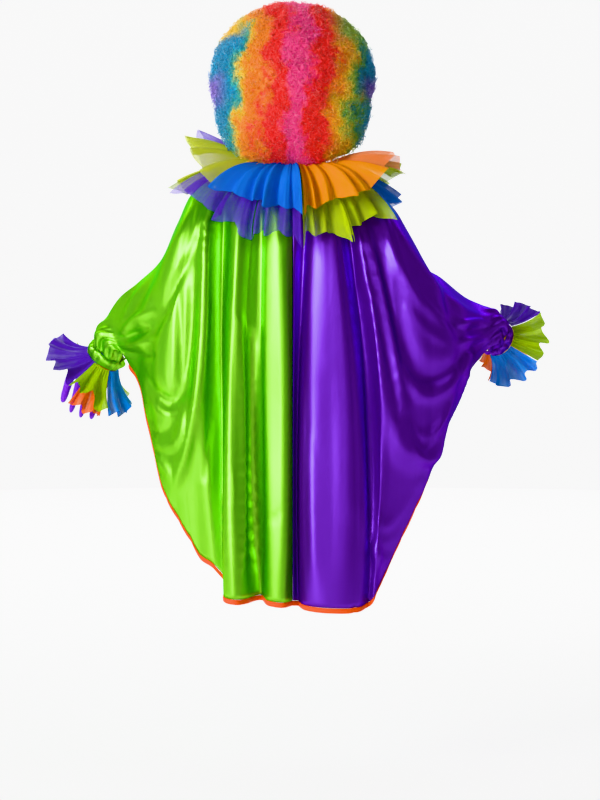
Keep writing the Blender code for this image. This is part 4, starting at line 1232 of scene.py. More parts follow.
@dataclass
class Panel:
    """A quarter of the poncho as a grid: columns run from the centre seam to the wrist, rows downwards."""

    name: str
    side: Side
    way: Way
    folds: tuple
    swags: tuple
    creases: tuple
    finish: Satin
    flat: tuple
    area: float
    columns_per_fold: int = 10
    rows: int = 104
    edge_share: float = 0.12
    curve_points: int = 40
    puckers: float = 6.5
    pucker_height: float = 0.003224
    pucker_reach: float = 0.050
    pucker_twist: float = 34.0
    wrist_girth: float = 0.062
    wrist_fade: float = 0.020
    wrist_start: float = 0.0015
    seam_groove: float = 0.0016
    seam_width: float = 0.004

    def __post_init__(self) -> None:
        """Lays the folds, swags and creases."""
        facing = self.way.value
        shares = np.linspace(0, 1, self.rows + 1) ** ROW_CROWDING
        tops = [self.side.top_edge(fold.along, facing)[0] for fold in self.folds]
        lines = [self.hanging_line(fold, top, shares) for fold, top in zip(self.folds, tops)]
        lines += [self.ring_line(ring, shares) for ring in SLEEVE_RINGS]
        alongs = [fold.along for fold in self.folds] + self.side.ring_along
        offsets = smooth_rows(np.array(lines), self.columns_per_fold)
        steps = np.arange(len(offsets)) / self.columns_per_fold
        places = np.interp(steps, np.arange(len(alongs)), alongs)
        edge = [self.side.top_edge(place, facing) for place in places]
        top_points, across = (np.array(part) for part in zip(*edge))
        self.points = top_points[:, None, :] + offsets + across[:, None, :] * SEAM_GAP / 2
        self.points[0, :, 0] = self.side.sign * SEAM_GAP / 2
        self.lay(self.swags, shares, np.array([0.0, -facing, 0.0]))
        self.lay(self.creases, shares, self.outward(across))
        self.gather_wrist(shares, self.outward(across))
        self.sink_seams(self.outward(across))
        self.bound_columns = len(self.points) - self.columns_per_fold
        self.shorten_for_binding()
        self.normals = self.outward(across)

    def hanging_line(self, fold: FoldLine, top: Array, shares: Array) -> Array:
        """A fold line.

        Args:
            fold: The fold's sizes.
            top: Where it hangs from.
            shares: Shares of its drop.

        Returns:
            Its points, as offsets from the top.
        """
        drop = top[2] - fold.hem_z
        x = top[0] * (1 - shares) * (1 - 2 * shares) + 4 * fold.mid_x * shares * (1 - shares)
        x = x + fold.hem_x * shares * (2 * shares - 1)
        low = np.clip(2 * shares - 1, 0, 1)
        settled_y = fold.mid_y + (fold.hem_y - fold.mid_y) * low * low * (3 - 2 * low)
        roll = SHOULDER_ROLL + (ARM_ROLL - SHOULDER_ROLL) * min(1, fold.along / ARM_SHARE)
        y = top[1] + (settled_y - top[1]) * (1 - np.exp(-shares * drop / roll))
        return np.stack([x, y, top[2] - drop * shares], axis=1) - top

    def ring_line(self, ring: SleeveRing, shares: Array) -> Array:
        """Half a sleeve ring as offsets from its top point, with the gathers of the elastic in it."""
        facing = self.way.value
        top = self.side.ring_point(ring, 0.0, facing)
        line = []
        for share in shares:
            point = self.side.ring_point(ring, share * math.radians(ring.ends), facing)
            wave = GATHER_HEIGHT * math.sin(2 * math.pi * GATHER_COUNT * share) * math.sin(math.pi * share)
            line.append(point + wave * unit(point - self.side.ring_centre(ring)) - top)
        return np.array(line)

    def lay(self, creases: tuple, shares: Array, outwards: Array) -> None:
        """Lifts the cloth along curves, and not at its edges.

        Swags add up. Where creases meet, only the highest ridge and the deepest trough count.

        Args:
            creases: The ridges and troughs.
            shares: Each row's share of the drop.
            outwards: The way out of the cloth.
        """
        inside = np.clip(np.minimum(shares, 1 - shares) / self.edge_share, 0, 1)
        places = self.points[:, :, [0, 2]]
        ridges = np.zeros(places.shape[:2])
        troughs = np.zeros(places.shape[:2])
        u = np.linspace(0, 1, self.curve_points)[:, None]
        for crease in creases:
            curve = crease.start * (1 - u) ** 2 + 2 * crease.middle * u * (1 - u) + crease.end * u * u
            fade = np.sin(np.pi * np.clip(u[:, 0], 0.06, 0.94)) ** 0.5
            away = np.linalg.norm(places[:, :, None, :] - curve, axis=-1)
            lift = (bell(away, crease.half_width) * fade).max(axis=-1) * crease.height
            if creases is self.swags:
                ridges = ridges + lift
            else:
                ridges = np.maximum(ridges, lift)
                troughs = np.minimum(troughs, lift)
        total = ridges + troughs
        self.points = self.points + total[:, :, None] * outwards * inside[None, :, None]

    def gather_wrist(self, shares: Array, outwards: Array) -> None:
        """Raises the crumpled gathers that the elastic makes above the cuff."""
        centre = np.array(self.side.sleeve.centre)
        axis = np.array(self.side.sleeve.axis)
        away = centre - self.points
        up_arm = np.abs((away * axis).sum(-1))
        near = bell(up_arm, self.pucker_reach) * (up_arm > self.wrist_start)
        round_arm = np.linalg.norm(away - (away * axis).sum(-1, keepdims=True) * axis, axis=-1)
        near = near * bell(np.clip(round_arm - self.wrist_girth, 0, 1), self.wrist_fade)
        turn = 2 * math.pi * shares[None, :] * self.puckers
        twist = up_arm * self.pucker_twist
        wave = np.sin(turn + twist) + 0.6 * np.sin(1.63 * turn - 1.4 * twist + 1.0)
        edge = np.sin(math.pi * shares)[None, :] ** 0.5
        settle = np.clip(up_arm / 0.012, 0.25, 1.0)
        lift = self.pucker_height * wave * near * edge * settle
        self.points = self.points + lift[:, :, None] * outwards

    def sink_seams(self, outwards: Array) -> None:
        """Sinks the cloth a little along the centre seam, as sewing does."""
        from_seam = np.abs(self.points[:, :, 0])
        column = np.arange(len(self.points))[:, None] < 2 * self.columns_per_fold
        dip = self.seam_groove * bell(from_seam, self.seam_width) * column
        self.points[:, :, 1] -= dip * outwards[:, :, 1]

    def outward(self, across: Array) -> Array:
        """The direction out of the cloth at each point, square to the seams along the seamed edges."""
        along_columns = np.gradient(self.points, axis=0)
        down_rows = np.gradient(self.points, axis=1)
        normals = unit(np.cross(along_columns, down_rows)) * self.side.sign * self.way.value * -1
        normals[0, :, 0] = 0
        normals[:, 0] -= (normals[:, 0] * across).sum(-1, keepdims=True) * across
        return unit(normals)

    def shorten_for_binding(self) -> None:
        """Draws the hanging columns up by a tape's width, so that the binding carries on below them."""
        hem = self.points[:, -1].copy()
        fall = unit(hem - self.points[:, -3])
        slant = np.linalg.norm(np.cross(fall, unit(np.gradient(hem, axis=0))), axis=1)
        past = np.arange(len(hem)) - (self.bound_columns - 1)
        share = np.clip(1 - past / (self.columns_per_fold / 2), 0, 1)
        cuts = share * (BINDING_WIDTH + BINDING_GAP / np.maximum(slant, 0.25))
        for column, cut in zip(self.points, cuts):
            reach = distances(column)
            column[:] = points_at(reach * (1 - cut / reach[-1]), reach, column)
        self.down = unit(hem - self.points[:, -1])
        self.tape_start = hem - self.down * BINDING_WIDTH

    def hem(self) -> tuple:
        """The hem.

        Returns:
            Where the binding starts, which way it runs down and which way is out, for each bound column.
        """
        bound = slice(0, self.bound_columns)
        return self.tape_start[bound], self.down[bound], self.normals[bound, -1]

    def build(self) -> Piece:
        """Makes the satin panel."""
        flip = self.side.sign * self.way.value < 0
        faces = grid_faces(*self.points.shape[:2], flip=flip)
        piece = mesh_piece(self.name + "_satin", self.points, faces, [self.finish], grid_uvs(self.points))
        thicken(piece, SATIN_THICKNESS)
        return dress(piece, self.finish, self.name)


@dataclass
class HemTape:
    """One folded tape along the hem from wrist to wrist, with its row of stitches.

    bulge is how much further the tape stands out at mid width, and stitch_line where its stitches run,
    from 0 at its start to 1 at its fold.
    """

    name: str
    left: Panel
    right: Panel
    bulge: float = 0.0002
    stitch_line: float = 0.22
    stitch_pitch: float = 0.0042
    stitch_length: float = 0.0028
    stitch_width: float = 0.00075
    face_width: float = 0.003

    def profile(self) -> tuple:
        """The tape's cross section: how far out of the satin, and which share of its width down."""
        front, back = BINDING_PROUD, -SATIN_WALL - BINDING_PROUD
        return (
            (front * 0.6, 0.0),
            (front, 0.12),
            (front + self.bulge, 0.5),
            (front * 0.9, 0.92),
            (-SATIN_WALL / 2, 1.0),
            (back * 0.95, 0.92),
            (back, 0.5),
            (back * 0.9, 0.0),
        )

    def half(self, panel: Panel) -> tuple:
        """The tape's sections along a panel's hem, where they start, and the ways down and out."""
        start, down, out = panel.hem()
        out = unit(out - (out * down).sum(-1, keepdims=True) * down)
        ring = [start + out * rise + down * BINDING_WIDTH * share for rise, share in self.profile()]
        return np.stack(ring, axis=1), start, down, out

    def build(self) -> Piece:
        """Makes the tape and its stitches as one piece."""
        left, right = self.half(self.left), self.half(self.right)
        joined, start, down, out = (np.concatenate([one[:0:-1], other]) for one, other in zip(left, right))
        joined[len(left[0]) - 1] = (left[0][0] + right[0][0]) / 2
        count, ring = joined.shape[:2]
        faces = tube_faces(count, ring)
        faces += [tuple(range(ring)), tuple(range(count * ring - 1, count * ring - ring - 1, -1))]
        length = distances(start)
        round_tape = np.tile(np.arange(ring) * self.face_width, (count, 1))
        uvs = np.stack([np.repeat(length[:, None], ring, 1), round_tape], axis=2)
        tape = joined.reshape(-1, 3)
        finishes = [0] * len(faces)
        line = start + down * BINDING_WIDTH * self.stitch_line + out * (BINDING_PROUD + self.bulge)
        stitches, stitch_faces = self.stitches(line, out, length, len(tape))
        faces += stitch_faces
        finishes += [1] * len(stitch_faces)
        points = np.concatenate([tape, stitches])
        all_uvs = np.concatenate([uvs.reshape(-1, 2), np.zeros((len(stitches), 2))])
        materials = [ORANGE_TAPE, ORANGE_THREAD]
        piece = mesh_piece(self.name + "_tape", points, faces, materials, all_uvs, finishes)
        turn_outwards(piece)
        return dress(piece, ORANGE_TAPE, self.name)

    def stitches(self, line: Array, out: Array, length: Array, first: int) -> tuple:
        """Small threads along a line.

        Args:
            line: The line's points.
            out: The way out of the tape at each point.
            length: Each point's distance along the line.
            first: The number of the first new point.

        Returns:
            The points and the faces.
        """
        count = int(length[-1] / self.stitch_pitch)
        middles = (np.arange(count) + 0.5) * self.stitch_pitch
        middle = points_at(middles, length, line)
        normal = unit(points_at(middles, length, out))
        along = unit(np.gradient(middle, axis=0))
        side = np.cross(along, normal)
        half, wide = self.stitch_length / 2, self.stitch_width / 2
        thread = [
            middle - along * half,
            middle + along * half,
            middle + side * wide,
            middle - side * wide,
            middle + normal * wide * 0.8,
            middle - normal * wide * 0.8,
        ]
        points = np.stack(thread, axis=1).reshape(-1, 3)
        faces = []
        for stitch in range(count):
            a, b, c, d, e, f = (first + stitch * 6 + k for k in range(6))
            faces += [(a, e, c), (a, d, e), (a, f, d), (a, c, f), (b, c, e), (b, e, d), (b, d, f), (b, f, c)]
        return points, faces


@dataclass
class Poncho:
    """The four satin panels and their hem tape, each panel's own sizes in a row."""

    panels: tuple = (
        (
            "panel_back_left", LEFT, Way.BACK, BACK_LEFT_FOLDS, BACK_LEFT_SWAGS, BACK_LEFT_CREASES,
            LIME_SATIN, (0.72, 1.06), 0.52,
        ),
        (
            "panel_back_right", RIGHT, Way.BACK, BACK_RIGHT_FOLDS, BACK_RIGHT_SWAGS, BACK_RIGHT_CREASES,
            PURPLE_SATIN, (0.76, 1.06), 0.54,
        ),
        (
            "panel_front_left", LEFT, Way.FRONT, FRONT_LEFT_FOLDS, FRONT_LEFT_SWAGS, FRONT_LEFT_CREASES,
            LIME_SATIN, (0.70, 1.02), 0.48,
        ),
        (
            "panel_front_right", RIGHT, Way.FRONT, FRONT_RIGHT_FOLDS, FRONT_RIGHT_SWAGS, FRONT_RIGHT_CREASES,
            PURPLE_SATIN, (0.74, 1.02), 0.48,
        ),
    )

    def build(self) -> list:
        """Makes the panels and tapes."""
        panels = table(Panel, *self.panels)
        back_left, back_right, front_left, front_right = panels
        tapes = {
            back_left.name: HemTape("hem_binding_back", back_left, back_right).build(),
            front_left.name: HemTape("hem_binding_front", front_left, front_right).build(),
        }
        made = []
        for panel in panels:
            piece = panel.build()
            with_pieces = [tapes[panel.name]] if panel.name in tapes else []
            made.append(piece)
        return made + list(tapes.values())


# ---- Ruff and cuffs ----


@dataclass(frozen=True)
class Petal:
    """One gathered panel of net, cut square, so that its corners hang lower than its middle.

    first and last are the folds it runs between, counted round its ring. flat is its cut size, which is not
    used.
    """

    name: str
    finish: Net
    first: int
    last: int
    flat: tuple


@dataclass(frozen=True)
class NetSlope:
    """How a layer of net stands out at one place round its ring, between the rows of a table.

    angle is measured round the ring, start and end are the slopes where the net leaves the band and
    at its edge. All three are in degrees.
    """

    angle: float
    length: float
    start: float
    end: float


@dataclass(frozen=True)
class NetLayer:
    """One layer of gathered net: its petals, its slopes, and the ring and the folds they share.

    corner and scallop are how much further the net hangs at a petal's corners, and unevenly from
    fold to fold, and point how far a ridge's edge stands out past a valley's. uneven is how far a fold
    strays from its even place, in folds. flare is how much deeper the folds are at the edge, flutter how
    far the edge curls, billow how far groups of folds swell outwards, lean how far folds sway sideways
    and trim how far a petal stops short of the next, both in degrees.
    """

    petals: tuple
    slopes: tuple
    radius: float
    lift: float
    folds: int
    fold_height: float
    corner: float
    scallop: float
    uneven: float
    steps: int = 8
    rows: int = 26
    pleat_height: float = 0.0016
    pleats_per_fold: float = 1.5
    flutter: float = 0.0070
    flare: float = 0.45
    point: float = 0.035
    lean: float = 1.6
    billow: float = 0.004
    trim: float = 0.55

    def slope_at(self, angles: Array) -> tuple:
        """The length and the two slopes at angles round the ring."""
        known = [row.angle for row in self.slopes]
        turned = np.array(angles, float)
        turned = np.where(turned > known[-1] + 1e-9, turned - 360, turned)
        turned = np.where(turned < known[0] - 1e-9, turned + 360, turned)
        columns = ([getattr(row, key) for row in self.slopes] for key in ("length", "start", "end"))
        return tuple(np.interp(turned, known, column) for column in columns)

    def droop(self, petal: Petal, numbers: Array, whole: Array) -> Array:
        """How much further the net reaches than its slopes' length, as a share of it.

        Args:
            petal: The petal.
            numbers: Places round the ring, in folds.
            whole: The folds' own places.

        Returns:
            A share for each place.
        """
        from_middle = 2 * (numbers - petal.first) / (petal.last - petal.first) - 1
        corner = self.corner * np.abs(from_middle) ** 3
        scallop = np.interp(numbers, whole, self.scallop * np.sin(2.1 * (whole % (2 * self.folds))))
        return corner + scallop - self.point * np.cos(math.pi * numbers) * (1 + 0.6 * np.sin(1.1 * numbers))

    def offset(self, numbers: Array, whole: Array, q: Array) -> Array:
        """How far the folds lift the net from its slope.

        Args:
            numbers: Places round the ring, in folds.
            whole: The folds' own places.
            q: Shares of the way from the gathers to the edge.

        Returns:
            A distance for each place and share.
        """
        depths = self.fold_height * (1 + 0.4 * np.sin(1.9 * (whole % (2 * self.folds))))
        depth = np.interp(numbers, whole, depths)
        wander = np.sin(0.9 * numbers + 0.6)
        wave = -np.cos(math.pi * numbers) * depth
        small = 0.3 * np.sin(2 * math.pi * 1.37 * numbers + 2 * wander) * depth
        pleats = self.pleat_height * np.sin(2 * math.pi * self.pleats_per_fold * numbers + 1.3 * wander)
        flutter = self.flutter * (0.4 + np.sin(2.3 * numbers + 1.1) * np.sin(0.71 * numbers))
        swell = 0.5 + 0.5 * np.sin(1.05 * numbers + 0.8 * np.sin(0.45 * numbers))
        lifts = wave[:, None] * q**0.8 * (1 + self.flare * q**2) + small[:, None] * q**2
        lifts = lifts + pleats[:, None] * np.exp(-3.2 * q) * np.clip(q * 12, 0.15, 1)
        return lifts + flutter[:, None] * q**3 + self.billow * swell[:, None] * np.sin(2.2 * q)

    def surface(self, petal: Petal, centre: Array, up: Array, zero: Array) -> Array:
        """The grid of one petal.

        Args:
            petal: The petal.
            centre: The ring's middle.
            up: The ring's axis.
            zero: The direction that angles are measured from.

        Returns:
            Points by column and row.
        """
        count = petal.last - petal.first
        numbers = petal.first + np.linspace(0, count, count * self.steps + 1)
        whole = np.arange(petal.first - 1, petal.last + 2)
        strays = self.uneven * np.sin(1.3 * (whole % (2 * self.folds)))
        angles = np.interp(numbers, whole, whole + strays) * 180 / self.folds
        length, start, end = self.slope_at(angles)
        ends = [petal.first, petal.first + 1, petal.last - 1, petal.last]
        angles = angles + np.interp(numbers, ends, [self.trim, 0, 0, -self.trim])
        q = np.linspace(0, 1, self.rows + 1)
        slope = np.radians(start[:, None] + (end - start)[:, None] * q)
        step = (length * (1 + self.droop(petal, numbers, whole)))[:, None] / self.rows
        none = np.zeros((len(numbers), 1))
        run = np.concatenate([none, np.cumsum(step * np.cos(slope[:, :-1]), axis=1)], axis=1)
        rise = np.concatenate([none, np.cumsum(step * np.sin(slope[:, :-1]), axis=1)], axis=1)
        lean = self.lean * np.minimum(1, np.minimum(numbers - petal.first, petal.last - numbers) / 1.5)
        turn = np.radians(angles[:, None] + (lean * np.sin(0.9 * numbers + 0.6))[:, None] * q**2)
        outward = np.cos(turn)[..., None] * zero + np.sin(turn)[..., None] * np.cross(up, zero)
        across = -np.sin(slope)[..., None] * outward + np.cos(slope)[..., None] * up
        ring = (self.radius + run)[..., None] * outward + (self.lift + rise)[..., None] * up
        return centre + ring + self.offset(numbers, whole, q)[..., None] * across

    def build(self, centre: Array, up: Array, zero: Array) -> list:
        """Makes the petals of the layer."""
        made = []
        for petal in self.petals:
            grid = self.surface(petal, centre, up, zero)
            faces = grid_faces(*grid.shape[:2])
            piece = mesh_piece(petal.name + "_gathered", grid, faces, [petal.finish], grid_uvs(grid))
            dress(piece, petal.finish, petal.name)
            made.append(piece)
        return made


# angle, length, start, end; 0 degrees is the wearer's back, 90 their right
RUFF_TOP_SLOPES = table(
    NetSlope,
    (-180, 0.140, -4, -76),
    (-128, 0.150, 10, -48),
    (-102, 0.160, 36, 12),
    (-74, 0.172, 28, -8),
    (-46, 0.164, 0, -58),
    (-14, 0.164, -15, -84),
    (18, 0.164, -15, -84),
    (46, 0.162, -3, -60),
    (70, 0.160, 18, -10),
    (98, 0.170, 8, -30),
    (135, 0.150, 2, -56),
    (180, 0.140, -4, -76),
)
RUFF_LOW_SLOPES = table(
    NetSlope,
    (-180, 0.165, -16, -80),
    (-122, 0.172, 4, -50),
    (-92, 0.190, 14, -36),
    (-66, 0.196, 2, -52),
    (-36, 0.204, -30, -84),
    (0, 0.206, -37, -87),
    (30, 0.204, -35, -86),
    (60, 0.194, -16, -70),
    (86, 0.188, -2, -48),
    (120, 0.172, -6, -62),
    (180, 0.165, -16, -80),
)
RUFF_FOLDS = {
    "radius": NECK_RADIUS + 0.0008,
    "folds": 35,
    "fold_height": 0.0085,
    "corner": 0.12,
    "scallop": 0.05,
    "uneven": 0.20,
}
CUFF_FOLDS = {"lift": 0.0290, "folds": 16, "scallop": 0.04, "uneven": 0.16}
RUFF_TOP = NetLayer(
    petals=table(
        Petal,
        ("ruff_top_blue_back", BLUE_NET, -10, 1, (0.200, 0.165)),
        ("ruff_top_orange_back", ORANGE_NET, 1, 11, (0.200, 0.165)),
        ("ruff_top_peach_right", PEACH_NET, 11, 16, (0.095, 0.165)),
        ("ruff_top_lime_right", LIME_NET, 16, 24, (0.155, 0.165)),
        ("ruff_top_blue_front", BLUE_NET, 24, 33, (0.155, 0.150)),
        ("ruff_top_purple_front", PURPLE_NET, 33, 42, (0.155, 0.150)),
        ("ruff_top_orange_front", ORANGE_NET, 42, 48, (0.115, 0.150)),
        ("ruff_top_purple_left", PURPLE_NET, 48, 53, (0.100, 0.160)),
        ("ruff_top_yellow_left", YELLOW_NET, 53, 60, (0.150, 0.170)),
    ),
    slopes=RUFF_TOP_SLOPES,
    lift=0.0080,
    point=0.050,
    billow=0.012,
    **RUFF_FOLDS,
)
RUFF_LOW = NetLayer(
    petals=table(
        Petal,
        ("ruff_low_purple_left", PURPLE_NET, -15, -6, (0.170, 0.200)),
        ("ruff_low_purple_back", PURPLE_NET, -6, 1, (0.135, 0.205)),
        ("ruff_low_lime_back", LIME_NET, 1, 7, (0.115, 0.205)),
        ("ruff_low_lime_right", LIME_NET, 7, 13, (0.115, 0.200)),
        ("ruff_low_blue_right", BLUE_NET, 13, 22, (0.170, 0.190)),
        ("ruff_low_orange_front", ORANGE_NET, 22, 33, (0.190, 0.175)),
        ("ruff_low_lime_front", LIME_NET, 33, 45, (0.215, 0.175)),
        ("ruff_low_yellow_left", YELLOW_NET, 45, 55, (0.185, 0.190)),
    ),
    slopes=RUFF_LOW_SLOPES,
    lift=0.0030,
    **RUFF_FOLDS,
)

# angle, length, start, end; 0 degrees is the top of the wrist
LEFT_CUFF_SLOPES = table(
    NetSlope,
    (0, 0.098, 44, 2),
    (45, 0.100, 60, 24),
    (90, 0.106, 66, 34),
    (160, 0.108, 56, 20),
    (200, 0.098, 54, 18),
    (240, 0.080, 50, 10),
    (262, 0.078, 48, 12),
    (284, 0.088, 46, 10),
    (320, 0.098, 46, 6),
    (360, 0.098, 44, 2),
)
LEFT_CUFF_LOW_SLOPES = table(
    NetSlope,
    (160, 0.116, 78, 58),
    (260, 0.112, 78, 58),
)
RIGHT_CUFF_SLOPES = table(
    NetSlope,
    (0, 0.082, 56, 6),
    (90, 0.074, 60, 14),
    (180, 0.079, 58, 10),
    (225, 0.068, 66, 34),
    (270, 0.078, 64, 24),
    (360, 0.082, 56, 6),
)
LEFT_CUFF_NET = NetLayer(
    petals=table(
        Petal,
        ("cuff_net_left_yellow", YELLOW_NET, 2, 11, (0.175, 0.104)),
        ("cuff_net_left_blue", BLUE_SHEER, 11, 18, (0.145, 0.105)),
        ("cuff_net_left_lime", CUFF_LIME, 18, 23, (0.100, 0.090)),
        ("cuff_net_left_purple", CUFF_PURPLE, 23, 34, (0.210, 0.095)),
    ),
    slopes=LEFT_CUFF_SLOPES,
    radius=0.0442,
    fold_height=0.0080,
    corner=0.14,
    **CUFF_FOLDS,
)
LEFT_CUFF_LOW_NET = NetLayer(
    petals=(Petal("cuff_net_left_orange", ORANGE_SHEER, 15, 22, (0.100, 0.110)),),
    slopes=LEFT_CUFF_LOW_SLOPES,
    radius=0.0412,
    fold_height=0.0050,
    corner=0.06,
    **CUFF_FOLDS,
)
RIGHT_CUFF_NET = NetLayer(
    petals=table(
        Petal,
        ("cuff_net_right_purple", CUFF_PURPLE, -3, 4, (0.135, 0.080)),
        ("cuff_net_right_lime", CUFF_LIME, 4, 10, (0.110, 0.075)),
        ("cuff_net_right_blue", BLUE_SHEER, 10, 18, (0.150, 0.077)),
        ("cuff_net_right_orange", ORANGE_SHEER, 18, 22, (0.070, 0.072)),
        ("cuff_net_right_yellow", YELLOW_NET, 22, 29, (0.120, 0.080)),
    ),
    slopes=RIGHT_CUFF_SLOPES,
    radius=0.0442,
    fold_height=0.0075,
    corner=0.10,
    **CUFF_FOLDS,
)


@dataclass
class Band:
    """A strip of satin round the neck or a wrist, gathered a little over its elastic.

    puff is how far it swells, most by its start, and lumps is how many times unevenly round.
    """

    name: str
    finish: Satin
    centre: Array
    axis: Array
    zero: Array
    inner: float
    outer: float
    low: float
    high: float
    flat: tuple
    gathers: int = 26
    gather_height: float = 0.0012
    puff: float = 0.0
    lumps: int = 5
    rim_draw: float = 0.0004
    segments: int = 208
    levels: int = 9

    def build(self) -> Piece:
        """Makes the band as a closed ring."""
        turn = np.linspace(0, 2 * math.pi, self.segments, endpoint=False)
        outward = np.cos(turn)[:, None] * self.zero + np.sin(turn)[:, None] * np.cross(self.axis, self.zero)
        wave = self.gather_height * (np.sin(self.gathers * turn) + 0.5 * np.sin(1.0 + 17 * turn)) / 1.5
        heights = np.linspace(self.low, self.high, self.levels)
        belly = np.sin(np.linspace(0, math.pi, self.levels)) ** 0.5
        swell = self.puff * np.sin(math.pi * np.linspace(0, 1, self.levels) ** 0.6)
        lumpy = (1 + 0.45 * np.sin(self.lumps * turn + 0.8))[:, None] * swell
        lifts = wave[:, None] * (0.3 + 0.7 * belly) + lumpy
        outside = self.outer + lifts - self.rim_draw * (1 - belly)
        inside = self.inner + lifts
        radii = np.concatenate([outside, inside[:, ::-1], outside[:, :1]], axis=1)
        rises = np.concatenate([heights, heights[::-1], heights[:1]])
        grid = self.centre + radii[..., None] * outward[:, None] + rises[:, None] * self.axis
        faces = tube_faces(self.segments, grid.shape[1] - 1, closed=True)
        uvs = grid_uvs(grid)[:, :-1]
        piece = mesh_piece(self.name + "_satin", grid[:, :-1], faces, [self.finish], uvs)
        dress(piece, self.finish, self.name)
        return piece


@dataclass
class Ruff:
    """The neck band and the two layers of gathered net petals on it."""

    band_low: float = 0.002
    band_high: float = 0.020
    band_inner: float = NECK_RADIUS - 0.0026
    band_outer: float = NECK_RADIUS - 0.0014

    def build(self) -> list:
        """Makes the band and the petals."""
        middle = np.zeros(3)
        band = Band(
            "neck_band", PURPLE_SATIN, middle, NECK_UP, NECK_BACK, self.band_inner, self.band_outer,
            self.band_low, self.band_high, (0.49, 0.021), gather_height=0.0003,
        )
        made = [band.build()]
        made += RUFF_TOP.build(middle, NECK_UP, NECK_BACK)
        made += RUFF_LOW.build(middle, NECK_UP, NECK_BACK)
        return made


@dataclass
class Cuffs:
    """A satin band on each sleeve's end, with gathered net petals on it."""

    band_start: float = 0.0006
    band_end: float = 0.028
    band_inner: float = CUFF_RADIUS - SATIN_WALL
    band_outer: float = CUFF_RADIUS - 0.0004

    def build(self) -> list:
        """Makes the bands and the petals."""
        made = []
        sides = (
            ("left", LEFT, (LEFT_CUFF_NET, LEFT_CUFF_LOW_NET), LIME_SATIN),
            ("right", RIGHT, (RIGHT_CUFF_NET,), PURPLE_SATIN),
        )
        for name, side, layers, finish in sides:
            axis = np.array(side.sleeve.axis)
            centre = np.array(side.sleeve.centre)
            band = Band(
                "cuff_band_" + name, finish, centre, axis, side.ring_up, self.band_inner, self.band_outer,
                self.band_start, self.band_end, (0.29, 0.028), gathers=15, gather_height=0.0022, puff=0.0055,
            )
            made.append(band.build())
            for layer in layers:
                made += layer.build(centre, axis, side.ring_up)
        return made


# ---- Gloves ----


@dataclass(frozen=True)
class GloveRow:
    """One level of the glove's hand, from the opening down to the knuckles."""

    name: str
    z: float
    half_width: float
    half_depth: float


@dataclass(frozen=True)
class Finger:
    """One finger of the glove: its length, its lean to the side and its half thickness, in metres."""

    name: str
    length: float
    lean: float
    half: float


# name, length, lean, half
HANGING_FINGERS = table(
    Finger,
    ("index", 0.076, -0.028, 0.0112),
    ("middle", 0.084, -0.034, 0.0114),
    ("ring", 0.078, -0.036, 0.0112),
    ("little", 0.064, -0.034, 0.0104),
)
SPREAD_FINGERS = table(
    Finger,
    ("index", 0.086, 0.022, 0.0108),
    ("middle", 0.100, 0.006, 0.0110),
    ("ring", 0.092, -0.010, 0.0108),
    ("little", 0.074, -0.020, 0.0100),
)
# share of the finger's length, share of its width
FINGER_RINGS = ((0.08, 1.0), (0.55, 0.94), (1.0, 0.72))
HAND_BULGE = (0.72, 1.0, 1.04, 1.0, 0.72)
LEFT_HAND_WAY = Vector((-0.62, 0.18, -0.77))
RIGHT_HAND_WAY = Vector((0.50, 0.76, -0.42))


